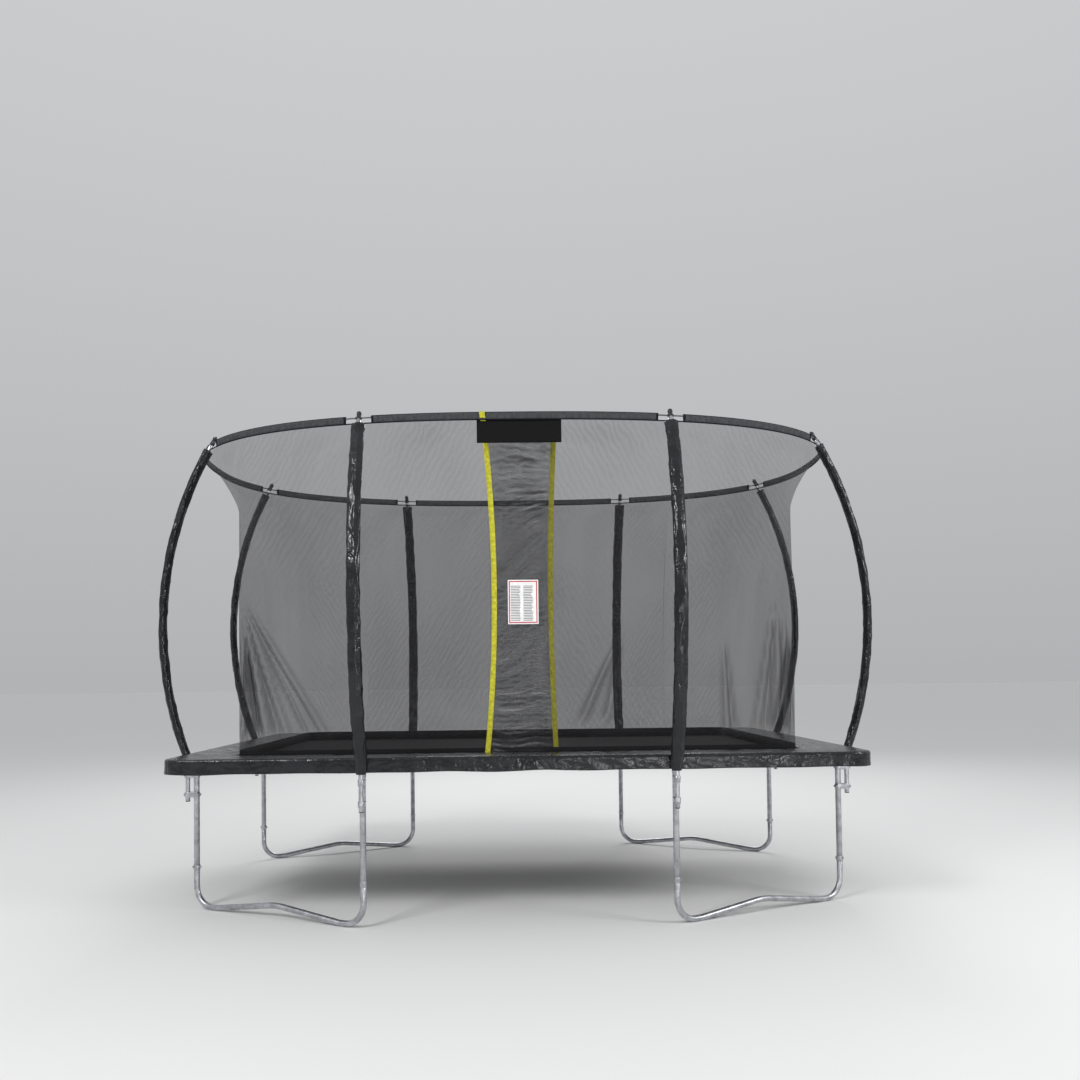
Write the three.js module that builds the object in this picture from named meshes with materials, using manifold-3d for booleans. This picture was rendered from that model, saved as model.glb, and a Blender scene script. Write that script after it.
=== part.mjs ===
// Rectangular garden trampoline with an enclosure net, standing on four W-shaped leg units.
// Millimetres, +Z up, +X along the long side. The origin is on the ground under the centre.
// The entrance, an overlap of two net flaps, is on the -Y side.
import * as THREE from 'three';
import { mergeVertices } from 'three/addons/utils/BufferGeometryUtils.js';
import Module from 'manifold-3d';

const wasm = await Module();
wasm.setup();

// ---- driving dimensions -------------------------------------------------------------------
const FRAME_LENGTH = 3660; // outside to outside of the frame tube
const FRAME_WIDTH = 2440;
const FRAME_TUBE = 38; // tube diameters
const LEG_TUBE = 32;
const POLE_TUBE = 25;
const FRAME_Z = 826; // height of the frame tube's centre line
const FRAME_BEND = 95; // bend radius of the frame's corners, on the centre line
const FIT_GAP = 0.3; // clearance where two pieces meet
const RAIL_OVERHANG = 60; // a corner piece reaches this far past its leg post

const HALF_X = (FRAME_LENGTH - FRAME_TUBE) / 2; // frame centre line
const HALF_Y = (FRAME_WIDTH - FRAME_TUBE) / 2;
const POST_X = 801; // posts under the long sides stand at +-POST_X
const POST_Y = 707; // posts under the short sides stand at +-POST_Y

const LEG_SIDES = 8; // flats round the leg and frame tubes

const LEG_JOINT_Z = 225; // where a leg unit plugs into its posts
const LEG_BEND = 110; // bend radius at the foot of a leg unit
const LEG_FLAT = 40; // length of the level stretch that stands on the ground
const LEG_RISE = 50; // how far the middle of a leg unit stands above its feet

const POLE_OFFSET = 50; // pole axis outside the post axis
const POLE_FOOT_Z = 600;
const POLE_BEND_Z = 800; // the pole is upright below this
const POLE_BEND = 180; // radius of the short bend outwards
const POLE_LEAN_OUT = 21; // degrees from upright after that bend
const POLE_LEAN_IN = 30.6; // degrees from upright at the tip
const POLE_TIP_Z = 2673;
const POLE_DRIFT_LONG = 18; // sideways drift of the tip, away from the middle, long sides
const POLE_DRIFT_SHORT = -73; // the same on the short sides, towards the middle
const POLE_STEPS = 9;

const CAP = { length: 50, radius: 13.2, nub: 6, nubRadius: 5, gap: 1.2 };
const BRACKET = { width: 18, height: 30, heights: [635, 745] };
const SLEEVE = { wide: 34, thick: 22, bore: 15.5, bottom: 788, bareTop: 38 };

const RING = { z: 2638.6, rod: 8, power: 2.5, hole: 6.5, steps: 8 };
const NET = { halfX: 1532.5, halfY: 922.5, power: 30, flare: 4.2, skin: 3, hang: 26 };
const NET_TURN = 4; // degrees from a corner of the net to the columns beside it
const NET_STEP = 16; // degrees between its other columns, at most
const MAT = { halfX: 1575, halfY: 965, corner: 110, bottom: 828, thick: 5 };
const PAD = { reach: 26.5, inner: 13.5, bottom: 846, thick: 25, corner: 122, innerCorner: 60 };
const SKIRT = { bottom: 794, thick: 4 };
const SPRING = { radius: 9, long: 26, short: 16, hem: 14, pitchLong: 112, pitchShort: 110 };

const DOOR = { x: 20, halfWidth: 165, bottom: 885, top: 1850, stand: 8, hinge: 5 };
const BANNER = { width: 440, bottom: 2489, top: 2620, thick: 2 };
const LABEL = { width: 165, height: 240, bottom: 1559, x: 34, thick: 1.5 };

// ---- materials ----------------------------------------------------------------------------
const paint = (color, roughness, metalness = 0) =>
  new THREE.MeshStandardMaterial({ color, roughness, metalness });
const GALVANISED = paint(0xb9bcc0, 0.38, 0.9);
const BLACK_VINYL = paint(0x15161a, 0.42);
const BLACK_NET = paint(0x1b1b1d, 0.9);
const BLACK_PLASTIC = paint(0x111113, 0.5);
const MAT_WEAVE = paint(0x1d1d1f, 0.85);
const LABEL_WHITE = paint(0xf2f2f0, 0.5);
const ROD_GREY = paint(0xa7a9ab, 0.4);
const SPRING_ZINC = paint(0xc4c6c8, 0.3, 0.95);

const model = new THREE.Group();

function add(name, geometry, material) {
  const mesh = new THREE.Mesh(geometry, material);
  mesh.name = name;
  model.add(mesh);
  return mesh;
}

// ---- shared shapes ------------------------------------------------------------------------
// A curve given by its stations: the extrusion puts one section on each of them.
class StationCurve extends THREE.Curve {
  constructor(stations) {
    super();
    this.stations = stations;
  }
  getPoint(t) {
    const place = t * (this.stations.length - 1);
    const first = Math.min(Math.floor(place), this.stations.length - 2);
    return this.stations[first].clone().lerp(this.stations[first + 1], place - first);
  }
  getPointAt(t) {
    return this.getPoint(t);
  }
  getTangentAt(t) {
    const index = Math.round(t * (this.stations.length - 1));
    const before = this.stations[Math.max(index - 1, 0)];
    const here = this.stations[index];
    const after = this.stations[Math.min(index + 1, this.stations.length - 1)];
    const arriving = here.clone().sub(before).normalize();
    const leaving = after.clone().sub(here).normalize();
    return arriving.add(leaving).normalize();
  }
}

// Points of a polygon with flats across its X and Y axes at the given half widths.
function polygon(sides, halfX, halfY = halfX) {
  const reach = 1 / Math.cos(Math.PI / sides);
  const points = [];
  for (let i = 0; i < sides; i += 1) {
    const angle = ((i + 0.5) * 2 * Math.PI) / sides;
    points.push(new THREE.Vector2(halfX * reach * Math.cos(angle), halfY * reach * Math.sin(angle)));
  }
  return points;
}

function sweep(stations, section) {
  const extrudePath = new StationCurve(stations);
  return new THREE.ExtrudeGeometry(section, { extrudePath, steps: stations.length - 1 });
}

function tube(stations, diameter, sides) {
  return sweep(stations, new THREE.Shape(polygon(sides, diameter / 2)));
}

// A thin curved plate. place(u, v, w) gives its points, each from -0.5 to 0.5, v across the plate.
// Both faces split their quads along the same diagonal, so the plate keeps its thickness.
function bentPlate(columns, rows, place) {
  const positions = [];
  for (const v of [-0.5, 0.5]) {
    for (let j = 0; j <= rows; j += 1) {
      for (let i = 0; i <= columns; i += 1) {
        positions.push(...place(i / columns - 0.5, v, j / rows - 0.5).toArray());
      }
    }
  }
  const at = (side, i, j) => (side * (rows + 1) + j) * (columns + 1) + i;
  const index = [];
  const quad = (a, b, c, d) => index.push(a, b, c, a, c, d);
  for (let j = 0; j < rows; j += 1) {
    for (let i = 0; i < columns; i += 1) {
      quad(at(0, i, j), at(0, i + 1, j), at(0, i + 1, j + 1), at(0, i, j + 1));
      quad(at(1, i, j), at(1, i, j + 1), at(1, i + 1, j + 1), at(1, i + 1, j));
    }
    quad(at(0, 0, j), at(0, 0, j + 1), at(1, 0, j + 1), at(1, 0, j));
    quad(at(0, columns, j), at(1, columns, j), at(1, columns, j + 1), at(0, columns, j + 1));
  }
  for (let i = 0; i < columns; i += 1) {
    quad(at(0, i, 0), at(1, i, 0), at(1, i + 1, 0), at(0, i + 1, 0));
    quad(at(0, i, rows), at(0, i + 1, rows), at(1, i + 1, rows), at(1, i, rows));
  }
  const geometry = new THREE.BufferGeometry();
  geometry.setAttribute('position', new THREE.Float32BufferAttribute(positions, 3));
  geometry.setIndex(index);
  return geometry;
}

function box(width, depth, height, x, y, z) {
  return new THREE.BoxGeometry(width, depth, height).translate(x, y, z);
}

function toSolid(geometry) {
  const bare = geometry.clone();
  bare.deleteAttribute('normal');
  bare.deleteAttribute('uv');
  const merged = mergeVertices(bare);
  const mesh = new wasm.Mesh({
    numProp: 3,
    vertProperties: Float32Array.from(merged.attributes.position.array),
    triVerts: Uint32Array.from(merged.index.array),
  });
  return new wasm.Manifold(mesh);
}

function toGeometry(solid) {
  const mesh = solid.getMesh();
  const geometry = new THREE.BufferGeometry();
  geometry.setAttribute('position', new THREE.BufferAttribute(mesh.vertProperties, 3));
  geometry.setIndex(new THREE.BufferAttribute(mesh.triVerts, 1));
  geometry.computeVertexNormals();
  return geometry;
}

const join = (...geometries) =>
  toGeometry(geometries.map(toSolid).reduce((sum, solid) => sum.add(solid)));
const cut = (geometry, tool) => toGeometry(toSolid(geometry).subtract(toSolid(tool)));

const ENDS = [
  { name: 'front', sy: -1 },
  { name: 'back', sy: 1 },
];
const FLANKS = [
  { name: 'left', sx: -1 },
  { name: 'right', sx: 1 },
];

// ---- frame: four bent corner pieces and four straight rails ---------------------------------
const SEAM_X = POST_X - RAIL_OVERHANG;
const SEAM_Y = POST_Y - RAIL_OVERHANG;

function frameCorner(sx, sy) {
  const steps = 6;
  const stations = [new THREE.Vector3(sx * (SEAM_X + FIT_GAP), sy * HALF_Y, FRAME_Z)];
  for (let i = 0; i <= steps; i += 1) {
    const angle = (Math.PI / 2) * (1 - i / steps);
    const x = HALF_X - FRAME_BEND * (1 - Math.cos(angle));
    const y = HALF_Y - FRAME_BEND * (1 - Math.sin(angle));
    stations.push(new THREE.Vector3(sx * x, sy * y, FRAME_Z));
  }
  stations.push(new THREE.Vector3(sx * HALF_X, sy * (SEAM_Y + FIT_GAP), FRAME_Z));
  return tube(stations, FRAME_TUBE, LEG_SIDES);
}

function addFrame() {
  for (const end of ENDS) {
    const from = new THREE.Vector3(-SEAM_X, end.sy * HALF_Y, FRAME_Z);
    const to = new THREE.Vector3(SEAM_X, end.sy * HALF_Y, FRAME_Z);
    add(`frame_rail_${end.name}`, tube([from, to], FRAME_TUBE, LEG_SIDES), GALVANISED);
    for (const flank of FLANKS) {
      const name = `frame_corner_${end.name}_${flank.name}`;
      add(name, frameCorner(flank.sx, end.sy), GALVANISED);
    }
  }
  for (const flank of FLANKS) {
    const from = new THREE.Vector3(flank.sx * HALF_X, -SEAM_Y, FRAME_Z);
    const to = new THREE.Vector3(flank.sx * HALF_X, SEAM_Y, FRAME_Z);
    add(`frame_rail_${flank.name}`, tube([from, to], FRAME_TUBE, LEG_SIDES), GALVANISED);
  }
}

// ---- leg units: a W-shaped tube across each corner, between two posts ------------------------
// Stations in the unit's own plane: s along the ground from the first post, z up.
function legStations(span) {
  const ground = LEG_TUBE / 2;
  const half = [[0, LEG_JOINT_Z], [0, ground + LEG_BEND]];
  for (let i = 1; i <= 4; i += 1) {
    const angle = (Math.PI / 2) * (i / 5);
    half.push([LEG_BEND * (1 - Math.cos(angle)), ground + LEG_BEND * (1 - Math.sin(angle))]);
  }
  half.push([LEG_BEND, ground], [LEG_BEND + LEG_FLAT, ground]);
  half.push([span / 2 - 90, ground + LEG_RISE * 0.8], [span / 2 - 35, ground + LEG_RISE]);
  const far = half.map(([s, z]) => [span - s, z]).reverse();
  return [...half, ...far];
}

function legUnit(sx, sy) {
  const first = new THREE.Vector3(sx * POST_X, sy * HALF_Y, 0);
  const second = new THREE.Vector3(sx * HALF_X, sy * POST_Y, 0);
  const along = second.clone().sub(first);
  const span = along.length();
  const stations = legStations(span).map(([s, z]) => new THREE.Vector3(s, 0, z));
  const geometry = tube(stations, LEG_TUBE, LEG_SIDES);
  geometry.rotateZ(Math.atan2(along.y, along.x));
  geometry.translate(first.x, first.y, 0);
  return geometry;
}

// A post with the two welded blocks that the net pole is bolted to. out is the way out.
function legPost(x, y, out) {
  const top = FRAME_Z - FRAME_TUBE / 2 - FIT_GAP;
  const low = new THREE.Vector3(x, y, LEG_JOINT_Z + FIT_GAP);
  const post = tube([low, new THREE.Vector3(x, y, top)], LEG_TUBE, LEG_SIDES);
  const reach = POLE_OFFSET - POLE_TUBE / 2 / Math.cos(Math.PI / 8) - FIT_GAP;
  const pieces = BRACKET.heights.map((z) => {
    const width = Math.abs(out.x) * reach + Math.abs(out.y) * BRACKET.width;
    const depth = Math.abs(out.y) * reach + Math.abs(out.x) * BRACKET.width;
    const atX = x + (out.x * reach) / 2;
    const atY = y + (out.y * reach) / 2;
    return box(width, depth, BRACKET.height, atX, atY, z);
  });
  return join(post, ...pieces);
}

// ---- net poles --------------------------------------------------------------------------------
const RAD = Math.PI / 180;
const LEAN_OUT = POLE_LEAN_OUT * RAD;
const LEAN_IN = POLE_LEAN_IN * RAD;
const BOW_START = {
  out: POLE_BEND * (1 - Math.cos(LEAN_OUT)),
  z: POLE_BEND_Z + POLE_BEND * Math.sin(LEAN_OUT),
};
const BOW_RADIUS = (POLE_TIP_Z - BOW_START.z) / (Math.sin(LEAN_OUT) + Math.sin(LEAN_IN));

// Distance out and height on the bow, for a lean between LEAN_OUT and -LEAN_IN.
function bow(lean) {
  return {
    out: BOW_START.out + BOW_RADIUS * (Math.cos(lean) - Math.cos(LEAN_OUT)),
    z: BOW_START.z + BOW_RADIUS * (Math.sin(LEAN_OUT) - Math.sin(lean)),
  };
}

// Poles stand beside the posts. out is the way out and side the way along the frame.
function poleRow() {
  const rows = [];
  for (const end of ENDS) {
    for (const flank of FLANKS) {
      const corner = `${end.name}_${flank.name}`;
      rows.push({
        name: `${corner}_long`,
        base: new THREE.Vector3(flank.sx * POST_X, end.sy * (HALF_Y + POLE_OFFSET), 0),
        out: new THREE.Vector3(0, end.sy, 0),
        side: new THREE.Vector3(flank.sx, 0, 0),
        drift: POLE_DRIFT_LONG,
      });
      rows.push({
        name: `${corner}_short`,
        base: new THREE.Vector3(flank.sx * (HALF_X + POLE_OFFSET), end.sy * POST_Y, 0),
        out: new THREE.Vector3(flank.sx, 0, 0),
        side: new THREE.Vector3(0, end.sy, 0),
        drift: POLE_DRIFT_SHORT,
      });
    }
  }
  return rows;
}

function polePoint(pole, out, z) {
  const climb = Math.max(0, (z - POLE_BEND_Z) / (POLE_TIP_Z - POLE_BEND_Z));
  return pole.base
    .clone()
    .addScaledVector(pole.out, out)
    .addScaledVector(pole.side, pole.drift * climb)
    .setZ(z);
}

// Stations from a height below the bend up to a given distance short of the tip.
function poleStations(pole, fromZ, shortOfTip) {
  const stations = [polePoint(pole, 0, fromZ)];
  if (fromZ < POLE_BEND_Z) stations.push(polePoint(pole, 0, POLE_BEND_Z));
  const middle = LEAN_OUT / 2;
  const bendOut = POLE_BEND * (1 - Math.cos(middle));
  stations.push(polePoint(pole, bendOut, POLE_BEND_Z + POLE_BEND * Math.sin(middle)));
  const lastLean = -LEAN_IN + shortOfTip / BOW_RADIUS;
  for (let i = 0; i <= POLE_STEPS; i += 1) {
    const at = bow(LEAN_OUT + (lastLean - LEAN_OUT) * (i / POLE_STEPS));
    stations.push(polePoint(pole, at.out, at.z));
  }
  return stations;
}

function poleTip(pole) {
  const end = bow(-LEAN_IN);
  const near = bow(-LEAN_IN + CAP.length / BOW_RADIUS);
  const tip = polePoint(pole, end.out, end.z);
  const foot = polePoint(pole, near.out, near.z);
  return { tip, foot, axis: tip.clone().sub(foot).normalize() };
}

// Where the ring rod crosses the cap.
function ringCrossing(pole) {
  const { tip, axis } = poleTip(pole);
  return tip.clone().addScaledVector(axis, (RING.z - tip.z) / axis.z);
}

function poleCap(pole) {
  const { foot, axis } = poleTip(pole);
  const shoulder = 3;
  const profile = [
    [0, CAP.gap],
    [CAP.radius, CAP.gap],
    [CAP.radius, CAP.length - shoulder],
    [CAP.radius - shoulder, CAP.length],
    [CAP.nubRadius, CAP.length],
    [CAP.nubRadius, CAP.length + CAP.nub],
    [0, CAP.length + CAP.nub],
  ].map(([r, h]) => new THREE.Vector2(r, h));
  const body = new THREE.LatheGeometry(profile, 8);
  body.applyQuaternion(new THREE.Quaternion().setFromUnitVectors(new THREE.Vector3(0, 1, 0), axis));
  body.translate(foot.x, foot.y, foot.z);
  const crossing = ringCrossing(pole);
  const drill = new THREE.CylinderGeometry(RING.hole, RING.hole, 4 * CAP.radius, 8);
  drill.rotateZ(Math.PI / 2);
  drill.rotateZ(ringDirection(crossing));
  drill.translate(crossing.x, crossing.y, crossing.z);
  return cut(body, drill);
}

// A foam sleeve round the pole, wider along the frame than it is thick.
function poleSleeve(pole) {
  const alongX = Math.abs(pole.side.x) > 0.5;
  const halfNormal = alongX ? SLEEVE.thick : SLEEVE.wide;
  const halfBinormal = alongX ? SLEEVE.wide : SLEEVE.thick;
  const section = new THREE.Shape(polygon(8, halfNormal, halfBinormal));
  section.holes.push(new THREE.Path(polygon(8, SLEEVE.bore).reverse()));
  return sweep(poleStations(pole, SLEEVE.bottom, CAP.length + SLEEVE.bareTop), section);
}

// ---- top ring: a rod through all the caps -------------------------------------------------------
// Half axes of the superellipse |x/a|^n + |y/b|^n = 1 through one crossing of each kind.
function ringAxes() {
  const [longPole, shortPole] = poleRow();
  const raise = (v) => Math.abs(v) ** RING.power;
  const p = ringCrossing(longPole);
  const q = ringCrossing(shortPole);
  const scale = raise(p.x) * raise(q.y) - raise(q.x) * raise(p.y);
  const a = ((raise(q.y) - raise(p.y)) / scale) ** (-1 / RING.power);
  const b = ((raise(p.x) - raise(q.x)) / scale) ** (-1 / RING.power);
  return { a, b };
}
const RING_AXES = ringAxes();

// Radius of a superellipse at a polar angle.
function radiusAt(angle, a, b, power) {
  const x = Math.abs(Math.cos(angle) / a) ** power;
  const y = Math.abs(Math.sin(angle) / b) ** power;
  return (x + y) ** (-1 / power);
}

const ringRadius = (angle) => radiusAt(angle, RING_AXES.a, RING_AXES.b, RING.power);

// Heading of the ring, as an angle about Z, at a point on it.
function ringDirection(point) {
  const angle = Math.atan2(point.y, point.x);
  const step = 0.001;
  const r0 = ringRadius(angle - step);
  const r1 = ringRadius(angle + step);
  const dx = r1 * Math.cos(angle + step) - r0 * Math.cos(angle - step);
  const dy = r1 * Math.sin(angle + step) - r0 * Math.sin(angle - step);
  return Math.atan2(dy, dx);
}

// The rod's two ends meet at the middle of the back. Every crossing is a station.
function ringRod() {
  const crossings = poleRow().map((pole) => {
    const at = ringCrossing(pole);
    return (Math.atan2(at.y, at.x) + 2 * Math.PI - Math.PI / 2) % (2 * Math.PI);
  });
  const gap = FIT_GAP / RING_AXES.b;
  const marks = [gap, ...crossings.sort((p, q) => p - q), 2 * Math.PI - gap];
  const stations = [];
  marks.forEach((mark, i) => {
    if (i === 0) return;
    const previous = marks[i - 1];
    for (let k = 0; k < RING.steps; k += 1) {
      stations.push(previous + ((mark - previous) * k) / RING.steps);
    }
  });
  stations.push(marks[marks.length - 1]);
  const points = stations.map((turn) => {
    const angle = turn + Math.PI / 2;
    const r = ringRadius(angle);
    return new THREE.Vector3(r * Math.cos(angle), r * Math.sin(angle), RING.z);
  });
  return tube(points, RING.rod, 6);
}

// ---- net ----------------------------------------------------------------------------------------
const NET_BOTTOM = MAT.bottom + MAT.thick + FIT_GAP;
const NET_TOP = RING.z - NET.hang;

// Radius of the net at a polar angle and a height: a rounded rectangle at the mat, the ring on top.
// inset is how far inside the net's outer face the point lies, square to the walls.
function netRadius(angle, z, inset = 0) {
  const low = radiusAt(angle, NET.halfX - inset, NET.halfY - inset, NET.power);
  const climb = (z - NET_BOTTOM) / (RING.z - NET_BOTTOM);
  return low + (ringRadius(angle) - inset - low) * climb ** NET.flare;
}

// Polar angles of a panel's columns: at each corner and just beside it, with even steps between.
function columnAngles(from, to) {
  const corner = Math.atan2(NET.halfY, NET.halfX);
  const corners = [-Math.PI - corner, corner - Math.PI, -corner, corner];
  const passed = corners.filter((angle) => angle > from && angle < to);
  const beside = NET_TURN * RAD;
  const bends = passed.flatMap((angle) => [angle - beside, angle, angle + beside]);
  const stops = [from, ...bends, to];
  const angles = [from];
  for (let i = 1; i < stops.length; i += 1) {
    const gap = stops[i] - stops[i - 1];
    const parts = Math.ceil(gap / (NET_STEP * RAD));
    for (let k = 1; k <= parts; k += 1) angles.push(stops[i - 1] + (gap * k) / parts);
  }
  return angles;
}

function netPanel(fromAngle, toAngle, bottom, top, rows) {
  const angles = columnAngles(fromAngle, toAngle);
  const columns = angles.length - 1;
  return bentPlate(columns, rows, (u, v, w) => {
    const angle = angles[Math.round((u + 0.5) * columns)];
    const z = bottom + (top - bottom) * (w + 0.5);
    const r = netRadius(angle, z, NET.skin * (v + 0.5));
    return new THREE.Vector3(r * Math.cos(angle), r * Math.sin(angle), z);
  });
}

// Polar angle of a point of the net's front, x off the middle.
const frontAngle = (x) => Math.atan2(-NET.halfY, x);

function addNet() {
  const slit = 0.0004; // radians between neighbouring panels
  const edge = DOOR.halfWidth + FIT_GAP * 10;
  const doorLeft = frontAngle(DOOR.x - edge);
  const doorRight = frontAngle(DOOR.x + edge);
  const backLeft = 140 * RAD;
  const backRight = 40 * RAD;
  const full = [NET_BOTTOM, NET_TOP];
  add('net_left', netPanel(backLeft - 2 * Math.PI + slit, doorLeft - slit, ...full, 5), BLACK_NET);
  add('net_right', netPanel(doorRight + slit, backRight - slit, ...full, 5), BLACK_NET);
  add('net_back', netPanel(backRight + slit, backLeft - slit, ...full, 5), BLACK_NET);
  const header = [DOOR.top + FIT_GAP * 10, NET_TOP];
  add('net_header', netPanel(doorLeft + slit, doorRight - slit, ...header, 4), BLACK_NET);
}

// ---- entrance: two overlapping flaps, banner and label --------------------------------------------
const FRONT_Y = -netRadius(-Math.PI / 2, DOOR.top);
const OUTER_FLAP_Y = FRONT_Y - DOOR.stand;
const INNER_FLAP_Y = -NET.halfY + NET.skin + DOOR.stand;

function addEntrance() {
  const width = 2 * DOOR.halfWidth - DOOR.hinge;
  const height = DOOR.top - DOOR.bottom;
  const middle = (DOOR.top + DOOR.bottom) / 2;
  const shift = DOOR.hinge / 2;
  const outer = box(width, NET.skin, height, DOOR.x - shift, OUTER_FLAP_Y, middle);
  const inner = box(width, NET.skin, height, DOOR.x + shift, INNER_FLAP_Y, middle);
  add('door_outer_flap', outer, BLACK_NET);
  add('door_inner_flap', inner, BLACK_NET);
  const labelY = OUTER_FLAP_Y - NET.skin / 2 - LABEL.thick / 2 - FIT_GAP;
  const labelZ = LABEL.bottom + LABEL.height / 2;
  add('label', box(LABEL.width, LABEL.thick, LABEL.height, LABEL.x, labelY, labelZ), LABEL_WHITE);
  const bannerY = -netRadius(-Math.PI / 2, BANNER.top) - BANNER.thick / 2 - 2;
  const bannerZ = (BANNER.bottom + BANNER.top) / 2;
  const bannerHeight = BANNER.top - BANNER.bottom;
  const banner = box(BANNER.width, BANNER.thick, bannerHeight, DOOR.x, bannerY, bannerZ);
  add('banner', banner, BLACK_VINYL);
}

// ---- mat, springs and pads --------------------------------------------------------------------------
function roundedRectangle(halfX, halfY, corner) {
  const shape = new THREE.Shape();
  shape.moveTo(halfX, halfY - corner);
  shape.absarc(halfX - corner, halfY - corner, corner, 0, Math.PI / 2);
  shape.absarc(corner - halfX, halfY - corner, corner, Math.PI / 2, Math.PI);
  shape.absarc(corner - halfX, corner - halfY, corner, Math.PI, 1.5 * Math.PI);
  shape.absarc(halfX - corner, corner - halfY, corner, 1.5 * Math.PI, 2 * Math.PI);
  shape.closePath();
  return shape;
}

function plate(shape, bottom, thick, curveSegments) {
  const options = { depth: thick, bevelEnabled: false, curveSegments };
  return new THREE.ExtrudeGeometry(shape, options).translate(0, 0, bottom);
}

function addMat() {
  const outline = roundedRectangle(MAT.halfX, MAT.halfY, MAT.corner);
  add('mat', plate(outline, MAT.bottom, MAT.thick, 5), MAT_WEAVE);
}

// All the springs as one comb: teeth for the springs, on the mat's webbing hem. Each side's
// outline is made in its own s (along) and d (out), then turned round the mat.
function springOutline() {
  const shape = new THREE.Shape();
  const sides = [
    { count: SPRING.long, pitch: SPRING.pitchLong, mat: MAT.halfY, end: HALF_Y, cross: MAT.halfX },
    { count: SPRING.short, pitch: SPRING.pitchShort, mat: MAT.halfX, end: HALF_X, cross: MAT.halfY },
  ];
  const turns = [(s, d) => [s, -d], (s, d) => [d, s], (s, d) => [-s, d], (s, d) => [-d, -s]];
  const outline = [];
  turns.forEach((turn, i) => {
    const side = sides[i % 2];
    const base = side.mat + SPRING.hem;
    const tip = side.end - FRAME_TUBE / 2 - 2;
    for (let k = 0; k < side.count; k += 1) {
      const middle = (k - (side.count - 1) / 2) * side.pitch;
      const [from, to] = [middle - SPRING.radius, middle + SPRING.radius];
      outline.push(turn(from, base), turn(from, tip), turn(to, tip), turn(to, base));
    }
    const corner = MAT.corner + SPRING.hem;
    for (let k = 0; k < 4; k += 1) {
      const angle = (k * Math.PI) / 8;
      const s = side.cross - MAT.corner + corner * Math.sin(angle);
      const d = side.mat - MAT.corner + corner * Math.cos(angle);
      outline.push(turn(s, d));
    }
  });
  shape.setFromPoints(outline.map(([x, y]) => new THREE.Vector2(x, y)));
  const hole = FIT_GAP;
  shape.holes.push(roundedRectangle(MAT.halfX + hole, MAT.halfY + hole, MAT.corner + hole));
  return shape;
}

function addSprings() {
  const bottom = MAT.bottom + MAT.thick / 2 - SPRING.radius;
  add('springs', plate(springOutline(), bottom, 2 * SPRING.radius, 5), SPRING_ZINC);
}

// One quarter of the pad ring: the plan outline between two mitred corners.
function padOutline(halfLong, halfShort, innerLong, innerShort, outerCorner, innerCorner) {
  const shape = new THREE.Shape();
  const slit = FIT_GAP / outerCorner;
  const lift = Math.PI / 4 + slit;
  shape.absarc(outerCorner - halfLong, outerCorner - halfShort, outerCorner, Math.PI + lift, 1.5 * Math.PI);
  shape.absarc(halfLong - outerCorner, outerCorner - halfShort, outerCorner, -Math.PI / 2, -lift);
  shape.absarc(innerLong - innerCorner, innerCorner - innerShort, innerCorner, -lift, -Math.PI / 2, true);
  shape.absarc(innerCorner - innerLong, innerCorner - innerShort, innerCorner, 1.5 * Math.PI, Math.PI + lift, true);
  shape.closePath();
  return shape;
}

function pad(halfLong, halfShort, netLong, netShort) {
  const inner = [netLong + PAD.inner, netShort + PAD.inner];
  const top = padOutline(halfLong, halfShort, ...inner, PAD.corner, PAD.innerCorner);
  const back = [halfLong - SKIRT.thick, halfShort - SKIRT.thick];
  const band = padOutline(halfLong, halfShort, ...back, PAD.corner, PAD.corner - SKIRT.thick);
  const skirtHeight = PAD.bottom + PAD.thick / 2 - SKIRT.bottom;
  return join(plate(top, PAD.bottom, PAD.thick, 4), plate(band, SKIRT.bottom, skirtHeight, 4));
}

function addPads() {
  const padX = HALF_X + PAD.reach;
  const padY = HALF_Y + PAD.reach;
  add('pad_front', pad(padX, padY, NET.halfX, NET.halfY), BLACK_VINYL);
  add('pad_back', pad(padX, padY, NET.halfX, NET.halfY).rotateZ(Math.PI), BLACK_VINYL);
  add('pad_right', pad(padY, padX, NET.halfY, NET.halfX).rotateZ(Math.PI / 2), BLACK_VINYL);
  add('pad_left', pad(padY, padX, NET.halfY, NET.halfX).rotateZ(-Math.PI / 2), BLACK_VINYL);
}

// ---- assembly ----------------------------------------------------------------------------------------
function addLegsAndPoles() {
  for (const end of ENDS) {
    for (const flank of FLANKS) {
      const corner = `${end.name}_${flank.name}`;
      add(`leg_base_${corner}`, legUnit(flank.sx, end.sy), GALVANISED);
    }
  }
  for (const pole of poleRow()) {
    const postX = pole.base.x - pole.out.x * POLE_OFFSET;
    const postY = pole.base.y - pole.out.y * POLE_OFFSET;
    add(`leg_post_${pole.name}`, legPost(postX, postY, pole.out), GALVANISED);
    add(`pole_${pole.name}`, tube(poleStations(pole, POLE_FOOT_Z, CAP.length), POLE_TUBE, 8), GALVANISED);
    add(`pole_cap_${pole.name}`, poleCap(pole), BLACK_PLASTIC);
    add(`pole_sleeve_${pole.name}`, poleSleeve(pole), BLACK_VINYL);
  }
}

addFrame();
addLegsAndPoles();
add('top_ring', ringRod(), ROD_GREY);
addNet();
addEntrance();
addMat();
addSprings();
addPads();

export default model;
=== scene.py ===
import math
from functools import partial

import bpy
from mathutils import Matrix, Vector, noise


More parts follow.
